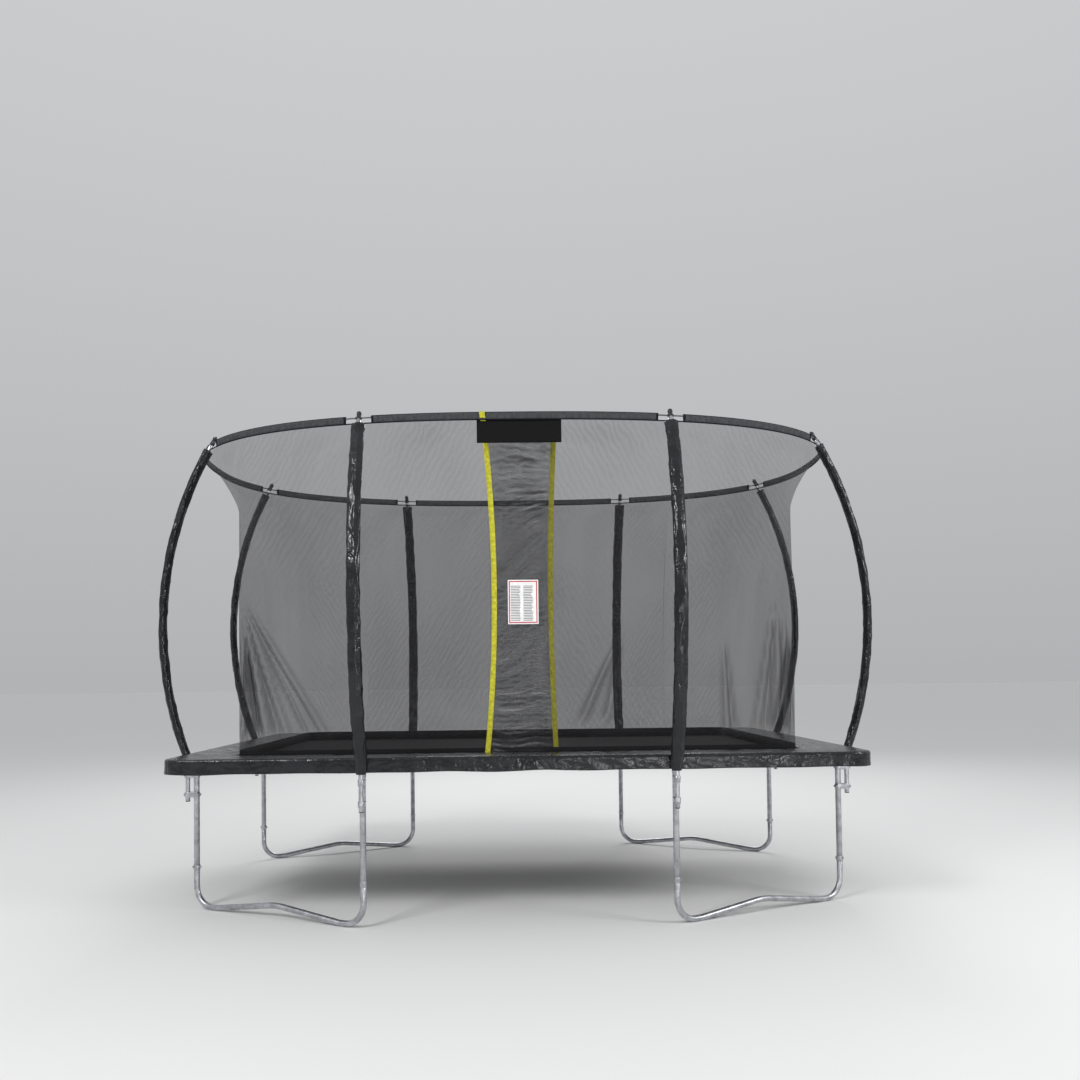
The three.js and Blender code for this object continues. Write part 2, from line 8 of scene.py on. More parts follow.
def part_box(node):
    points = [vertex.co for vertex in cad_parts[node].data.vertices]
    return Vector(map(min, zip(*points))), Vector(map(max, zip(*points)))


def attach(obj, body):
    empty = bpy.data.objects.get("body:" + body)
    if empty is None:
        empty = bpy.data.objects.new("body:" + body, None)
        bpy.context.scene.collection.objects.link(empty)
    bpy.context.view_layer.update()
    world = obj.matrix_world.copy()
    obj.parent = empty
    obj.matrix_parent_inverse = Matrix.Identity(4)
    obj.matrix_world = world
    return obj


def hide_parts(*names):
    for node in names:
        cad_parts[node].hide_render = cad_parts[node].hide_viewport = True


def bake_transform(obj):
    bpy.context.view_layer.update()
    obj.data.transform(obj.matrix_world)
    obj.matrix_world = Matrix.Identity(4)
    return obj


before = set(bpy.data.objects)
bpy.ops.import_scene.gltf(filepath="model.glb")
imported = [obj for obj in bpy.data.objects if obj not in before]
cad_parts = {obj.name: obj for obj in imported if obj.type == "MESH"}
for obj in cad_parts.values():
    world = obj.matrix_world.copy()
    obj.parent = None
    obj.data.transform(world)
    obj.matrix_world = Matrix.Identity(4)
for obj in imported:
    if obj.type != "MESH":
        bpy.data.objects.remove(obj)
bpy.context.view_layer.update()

# ---- sizes from the frame ---------------------------------------------------------------------
def middle(node):
    low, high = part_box(node)
    return (Vector(low) + Vector(high)) / 2


HALF_X = middle("frame_rail_right").x
HALF_Y = middle("frame_rail_back").y
FRAME_Z = middle("frame_rail_back").z
RING_Z = middle("top_ring").z
MAT_LOW, MAT_HIGH = (Vector(corner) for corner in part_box("mat"))
PAD_HALF_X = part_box("pad_right")[1][0]
PAD_HALF_Y = -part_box("pad_front")[0][1]
BANNER_LOW, BANNER_HIGH = (Vector(corner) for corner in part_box("banner"))
LABEL_LOW, LABEL_HIGH = (Vector(corner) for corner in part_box("label"))

# ---- sizes repeated from the design -----------------------------------------------------------
POST_X, POST_Y = 0.801, 0.707
FRAME_TUBE, LEG_TUBE, POLE_TUBE = 0.038, 0.032, 0.025
FRAME_BEND = 0.095
RAIL_OVERHANG = 0.060
LEG_JOINT_Z = 0.225
LEG_BEND, LEG_FLAT, LEG_RISE = 0.110, 0.040, 0.0525
LEG_KNEE, LEG_CROWN = 0.25, 0.40
POLE_OFFSET = 0.050
POLE_FOOT_Z, POLE_BEND_Z, POLE_TIP_Z = 0.600, 0.800, 2.673
POLE_BEND = 0.180
LEAN_OUT, LEAN_IN = math.radians(21), math.radians(30.6)
DRIFT_LONG, DRIFT_SHORT = 0.018, -0.073
CAP_LENGTH, CAP_RADIUS = 0.050, 0.0132
BRACKET_HEIGHTS = (0.635, 0.745)
SLEEVE_WIDE, SLEEVE_THICK = 0.034, 0.022
SLEEVE_LOW, SLEEVE_BARE_TOP = 0.788, 0.038
RING_POWER = 2.5
NET_X, NET_Y, NET_POWER, NET_FLARE = 1.5325, 0.9225, 30, 4.2
NET_LOW = MAT_HIGH.z
NET_TOP = RING_Z - 0.026
MAT_CORNER = 0.110
PAD_CORNER, PAD_INNER_CORNER, PAD_GAP = 0.122, 0.060, 0.0135
SPRING_ROWS = {"long": (26, 0.112), "short": (16, 0.110)}
SPRING_RADIUS = 0.009
DOOR_X, DOOR_HALF = 0.020, 0.165

# ---- finishing sizes --------------------------------------------------------------------------
TUBE_LIP = 0.0012  # rounding of a tube's cut end
POST_GAP = 0.0003  # from a post's top to the frame tube
COLLAR_HEIGHT, COLLAR_SWELL, COLLAR_BELOW = 0.033, 0.0016, 0.014
SADDLE_HEIGHT, SADDLE_SWELL = 0.034, 0.0022
BRACKET_TALL, BRACKET_WRAP, BRACKET_BEVEL = 0.030, 0.0009, 0.0015
CUT_OUT = 0.126  # width of the gap in the ring's band at each pole
ROD_RADIUS, BINDING_RADIUS, PIPING_RADIUS = 0.004, 0.0034, 0.0026
HEM_HEIGHT = 0.058
WALL_LOW = NET_LOW + 0.048  # the net's mesh starts inside the hem
FLAP_LOW = NET_LOW + 0.010
WALL_OVERLAP = 0.022  # the right wall starts this far inside the opening's right side
MAT_SAG = 0.006
HEM_WIDTH = 0.036
HOOK = 0.026
SPRING_WIRE = 0.0016
SPRING_COILS = 30


# ---- small tools ------------------------------------------------------------------------------
def smooth_step(t):
    t = min(max(t, 0.0), 1.0)
    return t * t * (3 - 2 * t)


def mesh_object(name, points, faces, material, uvs=None, smooth=True):
    mesh = bpy.data.meshes.new(name)
    mesh.from_pydata([tuple(p) for p in points], [], faces)
    if uvs:
        layer = mesh.uv_layers.new(name="UVMap")
        for loop in mesh.loops:
            layer.data[loop.index].uv = uvs[loop.vertex_index]
    mesh.validate()
    mesh.polygons.foreach_set("use_smooth", [smooth] * len(mesh.polygons))
    mesh.materials.append(material)
    piece = bpy.data.objects.new(name, mesh)
    bpy.context.scene.collection.objects.link(piece)
    return piece


class Skin:
    """Points and faces of one piece, added loop by loop."""

    def __init__(self):
        self.points = []
        self.faces = []
        self.uvs = []

    def add(self, loops, closed=True, capped=True, wrap=False, uv=None):
        start = len(self.points)
        count = len(loops[0])
        for i, loop in enumerate(loops):
            self.points += loop
            self.uvs += [uv(i, k) if uv else (k / count, i / len(loops)) for k in range(count)]
        across = count if closed else count - 1
        along = len(loops) if wrap else len(loops) - 1
        for i in range(along):
            a = start + i * count
            b = start + ((i + 1) % len(loops)) * count
            for k in range(across):
                n = (k + 1) % count
                self.faces.append((a + k, a + n, b + n, b + k))
        if capped and closed and not wrap:
            self.faces.append(tuple(start + k for k in reversed(range(count))))
            self.faces.append(tuple(start + (len(loops) - 1) * count + k for k in range(count)))
        return self

    def make(self, name, material, smooth=True):
        return mesh_object(name, self.points, self.faces, material, self.uvs, smooth)


def sweep(path, axis, offsets, wrap=False):
    """Loops along a path. Each offset (a, b) is along the fixed axis and square to it."""
    loops = []
    last = len(path) - 1
    for i, point in enumerate(path):
        after = path[(i + 1) % len(path)] if wrap else path[min(i + 1, last)]
        before = path[i - 1] if wrap else path[max(i - 1, 0)]
        heading = (after - before).normalized()
        square = axis.cross(heading).normalized()
        level = heading.cross(square)
        loops.append([point + level * a + square * b for a, b in offsets(i)])
    return loops


def circle(radius, sides=20):
    turns = [2 * math.pi * (k + 0.5) / sides for k in range(sides)]
    return [(radius * math.cos(turn), radius * math.sin(turn)) for turn in turns]


def rounded_path(corners, radii, steps=8):
    """A dense path through corner points, with an arc of the given radius at each inner one."""
    path = [corners[0]]
    for i in range(1, len(corners) - 1):
        here = corners[i]
        back = (corners[i - 1] - here).normalized()
        on = (corners[i + 1] - here).normalized()
        half = back.angle(on) / 2
        reach = radii[i - 1] / math.tan(half)
        centre = here + (back + on).normalized() * (radii[i - 1] / math.sin(half))
        first = here + back * reach - centre
        last = here + on * reach - centre
        total = first.angle(last)
        for k in range(steps + 1):
            t = k / steps
            spoke = (first * math.sin((1 - t) * total) + last * math.sin(t * total)) / math.sin(total)
            path.append(centre + spoke)
    path.append(corners[-1])
    return path


def spaced(path, step):
    """The same path with points about one step apart."""
    dense = [path[0]]
    for before, after in zip(path, path[1:]):
        parts = max(1, round((after - before).length / step))
        dense += [before.lerp(after, k / parts) for k in range(1, parts + 1)]
    return dense


def square_to(axis):
    helper = Vector((0, 0, 1)) if abs(axis.z) < 0.9 else Vector((1, 0, 0))
    return axis.cross(helper).normalized()


def lathe(skin, foot, axis, profile, sides=20):
    """Adds a turned shape to a skin. profile is (radius, height) from the foot."""
    u = square_to(axis)
    v = axis.cross(u)
    loops = []
    for radius, height in profile:
        centre = foot + axis * height
        loops.append([centre + u * a + v * b for a, b in circle(radius, sides)])
    skin.add(loops)


def box_skin(skin, low, high):
    x0, y0, z0 = low
    x1, y1, z1 = high
    corners = [(x0, y0), (x1, y0), (x1, y1), (x0, y1)]
    skin.add([[Vector((x, y, z)) for x, y in corners] for z in (z0, z1)])


# ---- net looks --------------------------------------------------------------------------------
NET_THREAD = 0.0042
# NET_LIT and FLAP_LIT: painted highlight colours, which the threads lighten to on leaning folds and
# along the moiré bands
NET_LIT = (0.055, 0.055, 0.058)
FLAP_LIT = (0.30, 0.30, 0.31)
NET_COVER = 0.38
FLAP_COVER = 0.45


# ---- materials: node helpers ------------------------------------------------------------------
def scaled(color, factor):
    return tuple(factor * c for c in color)


class Nodes:
    """A material with a Principled shader, and short calls to build its nodes."""

    def __init__(self, name, color, roughness, **inputs):
        self.material = bpy.data.materials.new(name)
        self.material.use_nodes = True
        self.tree = self.material.node_tree
        self.shader = self.tree.nodes["Principled BSDF"]
        self.shader.inputs["Base Color"].default_value = (*color, 1)
        self.shader.inputs["Roughness"].default_value = roughness
        for key, value in inputs.items():
            self.shader.inputs[key.replace("_", " ")].default_value = value

    def node(self, kind, inputs=None, **settings):
        node = self.tree.nodes.new(kind)
        for key, value in settings.items():
            setattr(node, key, value)
        for key, value in (inputs or {}).items():
            node.inputs[key].default_value = value
        return node

    def link(self, source, target):
        self.tree.links.new(source, target)
        return self

    def place(self, uv=False):
        return self.node("ShaderNodeTexCoord").outputs["UV" if uv else "Object"]

    def stretched(self, source, scale):
        mapping = self.node("ShaderNodeMapping", {"Scale": scale})
        self.link(source, mapping.inputs["Vector"])
        return mapping.outputs["Vector"]

    def noise(self, source, scale, detail=4, roughness=0.5, distortion=0.0):
        inputs = {"Scale": scale, "Detail": detail, "Roughness": roughness, "Distortion": distortion}
        node = self.node("ShaderNodeTexNoise", inputs)
        self.link(source, node.inputs["Vector"])
        return node.outputs["Fac"]

    def wave(self, source, scale, direction, distortion=0.0):
        inputs = {"Scale": scale, "Distortion": distortion}
        node = self.node("ShaderNodeTexWave", inputs, bands_direction=direction)
        self.link(source, node.inputs["Vector"])
        return node.outputs["Fac"]

    def spread(self, source, low, high, start=0.0, end=1.0):
        inputs = {"From Min": start, "From Max": end, "To Min": low, "To Max": high}
        node = self.node("ShaderNodeMapRange", inputs)
        self.link(source, node.inputs["Value"])
        return node.outputs["Result"]

    def math(self, operation, first, second):
        node = self.node("ShaderNodeMath", operation=operation)
        for socket, value in zip(node.inputs, (first, second)):
            if isinstance(value, (int, float)):
                socket.default_value = value
            else:
                self.link(value, socket)
        return node.outputs["Value"]

    def tint(self, source, first, second):
        ramp = self.node("ShaderNodeMix", data_type="RGBA")
        ramp.inputs["A"].default_value = (*first, 1)
        ramp.inputs["B"].default_value = (*second, 1)
        self.link(source, ramp.inputs["Factor"])
        self.link(ramp.outputs["Result"], self.shader.inputs["Base Color"])
        return self

    def rough(self, source):
        return self.link(source, self.shader.inputs["Roughness"])

    def bump(self, source, depth, strength=1.0):
        """Bumps add up: each new one goes on top of the last."""
        node = self.node("ShaderNodeBump", {"Distance": depth, "Strength": strength})
        self.link(source, node.inputs["Height"])
        if self.shader.inputs["Normal"].is_linked:
            self.link(self.shader.inputs["Normal"].links[0].from_socket, node.inputs["Normal"])
        return self.link(node.outputs["Normal"], self.shader.inputs["Normal"])


def galvanised_steel():
    m = Nodes("galvanised_steel", (0.62, 0.63, 0.65), 0.34, Metallic=0.9)
    place = m.place()
    cloud = m.noise(place, 26, 5, 0.6)
    spangle = m.node("ShaderNodeTexVoronoi", {"Scale": 90}, feature="F1")
    m.link(place, spangle.inputs["Vector"])
    m.tint(m.spread(cloud, 0, 1, 0.35, 0.65), (0.34, 0.35, 0.37), (0.56, 0.57, 0.60))
    m.rough(m.spread(spangle.outputs["Distance"], 0.24, 0.44, 0.0, 0.8))
    m.bump(m.noise(place, 420, 3), 0.0003)
    return m.material


def black_vinyl():
    """PVC-coated cloth: fine grain, sharp creases and a broken gloss."""
    color = (0.0055, 0.0058, 0.0072)
    m = Nodes("black_vinyl", color, 0.3, Specular_IOR_Level=0.42)
    place = m.place()
    creases = m.noise(place, 7, 3, 0.55, 1.6)
    crumple = m.noise(m.stretched(place, (1, 1, 0.3)), 15, 2, 0.5, 1.2)
    ridges = m.math("ABSOLUTE", m.math("SUBTRACT", crumple, 0.5), 0)
    m.tint(m.spread(creases, 0, 1, 0.3, 0.7), color, scaled(color, 2.2))
    m.rough(m.spread(creases, 0.16, 0.32, 0.35, 0.65))
    m.bump(creases, 0.012, 0.7)
    m.bump(ridges, -0.006, 0.7)
    m.bump(m.noise(place, 500, 1), 0.00008, 0.5)
    return m.material


def net_mesh(name, cover, direction, ripple, lit_color):
    """Knitted net. The shade attribute says how far a fold leans: threads close up there, and on folds
    that lean one way the threads get a painted highlight.
    """
    color = (0.024, 0.024, 0.026)
    m = Nodes(name, color, 0.8, Specular_IOR_Level=0.2)
    place = m.place(uv=True)
    turn = 2 * math.pi / NET_THREAD
    split = m.node("ShaderNodeSeparateXYZ")
    m.link(place, split.inputs["Vector"])
    across = m.math("SINE", m.math("MULTIPLY", split.outputs["X"], turn), 0)
    along = m.math("SINE", m.math("MULTIPLY", split.outputs["Y"], turn), 0)
    holes = m.math("MULTIPLY", across, along)
    stretch = m.noise(place, 1.1, 2, 0.4)
    bands = m.wave(m.stretched(place, (1, 0.6, 1)), 17, direction, 6.0)
    weave = m.math("MULTIPLY", m.math("SUBTRACT", bands, 0.5), m.spread(stretch, 0.2, 1.0, 0.40, 0.65))
    fine = m.math("MULTIPLY", weave, ripple)
    shade = m.node("ShaderNodeAttribute", attribute_name="shade").outputs["Fac"]
    lean = m.math("ABSOLUTE", shade, 0)
    veil = m.spread(stretch, cover - 0.04, cover + 0.05, 0.3, 0.7)
    veil = m.math("ADD", m.math("MULTIPLY", holes, 0.16), veil)
    veil = m.math("ADD", m.math("ADD", veil, fine), m.math("MULTIPLY", lean, 0.42))
    m.link(m.math("MINIMUM", m.math("MAXIMUM", veil, 0.05), 0.97), m.shader.inputs["Alpha"])
    # painted highlight: the colour lightens towards lit_color where a fold leans one way, and in painted
    # light streaks along the moiré bands
    lit = m.math("ADD", m.math("MULTIPLY", fine, 1.6), shade)
    m.tint(m.spread(lit, 0, 1, 0.0, 0.8), color, lit_color)
    m.bump(holes, 0.0008, 0.5)
    return m.material


def webbing(name, color, ribs=520, uv=True):
    m = Nodes(name, color, 0.8, Specular_IOR_Level=0.2)
    place = m.place(uv=uv)
    wear = m.spread(m.noise(place, 60, 4), 0, 1, 0.3, 0.7)
    m.tint(wear, scaled(color, 0.7), scaled(color, 1.25))
    m.bump(m.wave(place, ribs, "X"), 0.0006, 0.5)
    m.bump(m.wave(place, ribs, "Y"), 0.0005, 0.5)
    return m.material


def woven_mat():
    """Flat woven polypropylene with a faint lengthwise streak."""
    m = Nodes("woven_mat", (0.010, 0.010, 0.011), 0.8, Specular_IOR_Level=0.15)
    place = m.place()
    streaks = m.noise(m.stretched(place, (2, 60, 2)), 2.0, 4)
    m.tint(m.spread(streaks, 0, 1, 0.3, 0.7), (0.008, 0.008, 0.009), (0.019, 0.019, 0.020))
    m.rough(m.spread(streaks, 0.7, 0.9, 0.3, 0.7))
    m.bump(m.wave(place, 160, "X"), 0.0006, 0.5)
    m.bump(m.wave(place, 160, "Y"), 0.0006, 0.5)
    return m.material


def moulded(name, color, roughness=0.42, grain=900):
    m = Nodes(name, color, roughness)
    place = m.place()
    m.tint(m.noise(place, 30, 3), scaled(color, 0.85), scaled(color, 1.15))
    m.rough(m.spread(m.noise(place, 60, 3), roughness - 0.07, roughness + 0.1, 0.3, 0.7))
    m.bump(m.noise(place, grain, 2), 0.0002, 0.5)
    return m.material


def bright_wire():
    m = Nodes("zinc_wire", (0.70, 0.71, 0.73), 0.25, Metallic=1.0)
    place = m.place()
    m.rough(m.spread(m.noise(place, 80, 3), 0.18, 0.36, 0.3, 0.7))
    m.bump(m.noise(place, 500, 2), 0.0002, 0.5)
    return m.material


STEEL = galvanised_steel()
VINYL = black_vinyl()
NET = net_mesh("net_mesh", NET_COVER, "DIAGONAL", 0.07, NET_LIT)
FLAP_NET = net_mesh("flap_net", FLAP_COVER, "Y", 0.32, FLAP_LIT)
HEM = webbing("black_webbing", (0.006, 0.006, 0.007))
BANNER_CLOTH = webbing("banner_cloth", (0.0025, 0.0025, 0.003), 600)
BAND = webbing("band_cloth", (0.062, 0.064, 0.068), 300)
PIPING = webbing("dark_piping", (0.006, 0.006, 0.012), 400)
TRIM = webbing("yellow_green_webbing", (0.60, 0.57, 0.045), 330)
MAT_CLOTH = woven_mat()
CAP_PLASTIC = moulded("black_plastic", (0.012, 0.012, 0.014), 0.4)
ROD = moulded("grey_fibreglass", (0.10, 0.10, 0.105), 0.35)
WIRE = bright_wire()
PAPER = moulded("label_white", (0.86, 0.86, 0.85), 0.5, 300)
PRINT_RED = moulded("label_red", (0.50, 0.012, 0.02), 0.5, 300)
PRINT_GREY = moulded("label_grey", (0.10, 0.10, 0.11), 0.5, 300)


def keep(piece, body, slot, *nodes):
    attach(piece, body)
    if nodes:
        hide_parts(*nodes)
    return piece


ENDS = {"front": -1, "back": 1}
FLANKS = {"left": -1, "right": 1}
CORNERS = [(f"{end}_{flank}", sx, sy) for end, sy in ENDS.items() for flank, sx in FLANKS.items()]
UP = Vector((0, 0, 1))


# ---- poles, as curves -------------------------------------------------------------------------
BOW_OUT = POLE_BEND * (1 - math.cos(LEAN_OUT))
BOW_Z = POLE_BEND_Z + POLE_BEND * math.sin(LEAN_OUT)
BOW_RADIUS = (POLE_TIP_Z - BOW_Z) / (math.sin(LEAN_OUT) + math.sin(LEAN_IN))


class Pole:
    def __init__(self, name, base, out, side, drift):
        self.name = name
        self.base = Vector(base)
        self.out = Vector(out)
        self.side = Vector(side)
        self.drift = drift

    def point(self, out, z):
        climb = max(0.0, (z - POLE_BEND_Z) / (POLE_TIP_Z - POLE_BEND_Z))
        flat = self.base + self.out * out + self.side * self.drift * climb
        return Vector((flat.x, flat.y, z))

    def bow(self, lean):
        out = BOW_OUT + BOW_RADIUS * (math.cos(lean) - math.cos(LEAN_OUT))
        return self.point(out, BOW_Z + BOW_RADIUS * (math.sin(LEAN_OUT) - math.sin(lean)))

    def path(self, from_z, short_of_tip, step=0.02):
        points = [self.point(0, from_z), self.point(0, POLE_BEND_Z)]
        for k in range(1, 6):
            lean = LEAN_OUT * k / 6
            rise = POLE_BEND * math.sin(lean)
            points.append(self.point(POLE_BEND * (1 - math.cos(lean)), POLE_BEND_Z + rise))
        last = -LEAN_IN + short_of_tip / BOW_RADIUS
        for k in range(61):
            points.append(self.bow(LEAN_OUT + (last - LEAN_OUT) * k / 60))
        return spaced(points, step)

    def cap(self):
        tip = self.bow(-LEAN_IN)
        foot = self.bow(-LEAN_IN + CAP_LENGTH / BOW_RADIUS)
        return foot, (tip - foot).normalized()

    def crossing(self):
        tip = self.bow(-LEAN_IN)
        axis = self.cap()[1]
        return tip + axis * ((RING_Z - tip.z) / axis.z)


POLES = []
for corner, sx, sy in CORNERS:
    long_base = (sx * POST_X, sy * (HALF_Y + POLE_OFFSET), 0)
    short_base = (sx * (HALF_X + POLE_OFFSET), sy * POST_Y, 0)
    POLES.append(Pole(f"{corner}_long", long_base, (0, sy, 0), (sx, 0, 0), DRIFT_LONG))
    POLES.append(Pole(f"{corner}_short", short_base, (sx, 0, 0), (0, sy, 0), DRIFT_SHORT))


# ---- the ring's and the net's shape -----------------------------------------------------------
def ring_axes():
    p, q = POLES[0].crossing(), POLES[1].crossing()
    px, py, qx, qy = (abs(v) ** RING_POWER for v in (p.x, p.y, q.x, q.y))
    scale = px * qy - qx * py
    return ((qy - py) / scale) ** (-1 / RING_POWER), ((px - qx) / scale) ** (-1 / RING_POWER)


RING_A, RING_B = ring_axes()


def radius_at(angle, a, b, power):
    return (abs(math.cos(angle) / a) ** power + abs(math.sin(angle) / b) ** power) ** (-1 / power)


def ring_radius(angle):
    return radius_at(angle, RING_A, RING_B, RING_POWER)


def net_radius(angle, z):
    low = radius_at(angle, NET_X, NET_Y, NET_POWER)
    climb = max(0.0, (z - NET_LOW) / (RING_Z - NET_LOW))
    return low + (ring_radius(angle) - low) * climb**NET_FLARE


def polar(angle, radius, z):
    return Vector((radius * math.cos(angle), radius * math.sin(angle), z))


def front_angle(x, z):
    """Polar angle of the net's front at a given x."""
    y = NET_Y
    for _ in range(6):
        angle = math.atan2(-y, x)
        radius = net_radius(angle, z)
        y = math.sqrt(radius * radius - x * x)
    return math.atan2(-y, x)


# ---- steelwork --------------------------------------------------------------------------------
def round_tube(path, axis, diameter, sides=20):
    """A tube with slightly rounded ends."""
    lips = sweep(path, axis, lambda i: circle(diameter / 2 - TUBE_LIP, sides))
    loops = sweep(path, axis, lambda i: circle(diameter / 2, sides))
    nudge_first = (path[1] - path[0]).normalized() * TUBE_LIP
    nudge_last = (path[-1] - path[-2]).normalized() * TUBE_LIP
    first = [p + nudge_first for p in loops[0]]
    last = [p - nudge_last for p in loops[-1]]
    return Skin().add([lips[0], first] + loops[1:-1] + [last, lips[-1]])


def make_frame_tubes():
    seam_x, seam_y = POST_X - RAIL_OVERHANG, POST_Y - RAIL_OVERHANG
    for corner, sx, sy in CORNERS:
        points = [(seam_x, HALF_Y), (HALF_X, HALF_Y), (HALF_X, seam_y)]
        corners = [Vector((sx * x, sy * y, FRAME_Z)) for x, y in points]
        path = rounded_path(corners, [FRAME_BEND], 12)
        node = f"frame_corner_{corner}"
        piece = round_tube(path, UP, FRAME_TUBE, 24).make(node + "_tube", STEEL)
        keep(piece, "frame", "steel", node)
    for end, sy in ENDS.items():
        ends = [Vector((x, sy * HALF_Y, FRAME_Z)) for x in (-seam_x, seam_x)]
        make_rail(f"frame_rail_{end}", ends)
    for flank, sx in FLANKS.items():
        ends = [Vector((sx * HALF_X, y, FRAME_Z)) for y in (-seam_y, seam_y)]
        make_rail(f"frame_rail_{flank}", ends)


def make_rail(node, ends):
    piece = round_tube(spaced(ends, 0.2), UP, FRAME_TUBE, 24).make(node + "_tube", STEEL)
    keep(piece, "frame", "steel", node)


def make_leg_bases():
    for corner, sx, sy in CORNERS:
        first = Vector((sx * POST_X, sy * HALF_Y, 0))
        second = Vector((sx * HALF_X, sy * POST_Y, 0))
        span = (second - first).length
        along = (second - first) / span
        ground = LEG_TUBE / 2
        level_end = LEG_BEND + LEG_FLAT
        half = [(0, LEG_JOINT_Z), (0, ground), (level_end, ground)]
        flat = half + [(span / 2, ground + LEG_RISE)] + [(span - s, z) for s, z in reversed(half)]
        corners = [first + along * s + UP * z for s, z in flat]
        radii = [LEG_BEND, LEG_KNEE, LEG_CROWN, LEG_KNEE, LEG_BEND]
        path = rounded_path(corners, radii, 9)
        across = along.cross(UP)
        piece = round_tube(path, across, LEG_TUBE).make(f"leg_base_{corner}_tube", STEEL)
        keep(piece, "frame", "steel", f"leg_base_{corner}")


WASHER = [(0.0085, 0), (0.0085, 0.0014), (0.0080, 0.0016)]
BOLT_HEAD = [(0.0062, 0), (0.0062, 0.0042), (0.0050, 0.0052)]


def bolt(skin, place, axis, reach):
    """A hexagon head with its washer on each end of a bolt that runs through place."""
    for way in (axis, -axis):
        seat = place + way * reach
        lathe(skin, seat, way, WASHER, 16)
        lathe(skin, seat + way * WASHER[-1][1], way, BOLT_HEAD, 6)


def stadium(start, end, radius, side, steps=10):
    """Outline in plan round two tubes: half a circle at each end."""
    out = (end - start).normalized()
    points = []
    for centre, begin in ((end, -90), (start, 90)):
        for k in range(steps + 1):
            turn = math.radians(begin + 180 * k / steps)
            points.append(centre + out * radius * math.cos(turn) + side * radius * math.sin(turn))
    return points


def add_bracket(skin, foot, pole, height):
    """A welded block round post and pole, with the bolt that runs through both."""
    wrap = LEG_TUBE / 2 + BRACKET_WRAP
    shape = stadium(foot, pole.base, wrap, UP.cross(pole.out))
    half = BRACKET_TALL / 2
    levels = (-half, BRACKET_BEVEL - half, half - BRACKET_BEVEL, half)
    loops = [[p + UP * (height + z) for p in shape] for z in levels]
    centre = foot.lerp(pole.base, 0.5)
    for k in (0, -1):
        loops[k] = [p.lerp(centre + UP * p.z, 0.03) for p in loops[k]]
    skin.add(loops)
    bolt(skin, centre + UP * height, pole.out, POLE_OFFSET / 2 + wrap)


def make_posts():
    top = FRAME_Z - FRAME_TUBE / 2 - POST_GAP
    rim = LEG_TUBE / 2
    swollen = rim + COLLAR_SWELL
    collar = [(rim, 0), (swollen, 0.002), (swollen, COLLAR_HEIGHT - 0.003), (rim, COLLAR_HEIGHT)]
    saddle = [(rim, 0), (rim + SADDLE_SWELL, 0.002), (rim + SADDLE_SWELL, SADDLE_HEIGHT)]
    for pole in POLES:
        foot = pole.base - pole.out * POLE_OFFSET
        path = [foot + UP * z for z in (LEG_JOINT_Z, top - 0.05, top)]
        skin = round_tube(path, pole.side, LEG_TUBE)
        lathe(skin, foot + UP * (LEG_JOINT_Z - COLLAR_BELOW), UP, collar, 24)
        lathe(skin, foot + UP * (top - SADDLE_HEIGHT), UP, saddle, 24)
        for height in BRACKET_HEIGHTS:
            add_bracket(skin, foot, pole, height)
        bolt(skin, foot + UP * (LEG_JOINT_Z + 0.006), pole.out, rim + TUBE_LIP)
        piece = skin.make(f"leg_post_{pole.name}_tube", STEEL)
        keep(piece, "frame", "steel", f"leg_post_{pole.name}")


def make_poles():
    for pole in POLES:
        path = pole.path(POLE_FOOT_Z, CAP_LENGTH, 0.03)
        piece = round_tube(path, pole.side, POLE_TUBE).make(f"pole_{pole.name}_tube", STEEL)
        keep(piece, "frame", "steel", f"pole_{pole.name}")
        plug = Skin()
        plug_profile = [(0.009, 0), (POLE_TUBE / 2, 0.001), (POLE_TUBE / 2, 0.0045)]
        lathe(plug, pole.point(0, POLE_FOOT_Z - 0.004), UP, plug_profile, 20)
        keep(plug.make(f"pole_plug_{pole.name}", CAP_PLASTIC), "frame", "cap")
        make_cap(pole)


NUB = [(0.0055, 0.0502), (0.0050, 0.0508), (0.0050, 0.0548), (0.0040, 0.0560)]
RING_BOSS = [(0.0072, -0.016), (0.0078, -0.0145), (0.0078, 0.0145), (0.0072, 0.016)]


def make_cap(pole):
    foot, axis = pole.cap()
    r = CAP_RADIUS
    neck = r - 0.0008
    profile = [
        (r - 0.0010, 0.0008), (r, 0.0016), (r, 0.012), (neck, 0.013), (neck, 0.034),
        (r, 0.035), (r, 0.046), (neck, 0.0485), (r - 0.003, CAP_LENGTH),
    ]
    skin = Skin()
    lathe(skin, foot, axis, profile + NUB, 24)
    crossing = pole.crossing()
    angle = math.atan2(crossing.y, crossing.x)
    before, after = (polar(t, ring_radius(t), RING_Z) for t in (angle - 0.002, angle + 0.002))
    lathe(skin, crossing, (after - before).normalized(), RING_BOSS, 18)
    keep(skin.make(f"pole_cap_{pole.name}_turned", CAP_PLASTIC), "frame", "cap", f"pole_cap_{pole.name}")


# ---- sleeves: creased vinyl over foam ---------------------------------------------------------
def ridge(spot):
    """Sharp-crested noise, 0 to 1: the crests are creases."""
    return 1 - min(1.0, abs(noise.noise(spot)) * 2.6)


SLEEVE_STEP, SLEEVE_SIDES = 0.010, 44
SEAM_TURN, SEAM_DEPTH = 1.42 * math.pi, 0.0026
WAIST_HEIGHT = 0.052  # the sleeve is narrowest here, above its foot


def sleeve_swell(low, high):
    """How full the sleeve is at a distance from its foot and from its top."""
    swell = 0.70 + 0.30 * smooth_step(low / 0.045) + 0.05 * math.exp(-high / 0.05)
    return swell * (1 - 0.09 * math.exp(-(((low - WAIST_HEIGHT) / 0.010) ** 2)))


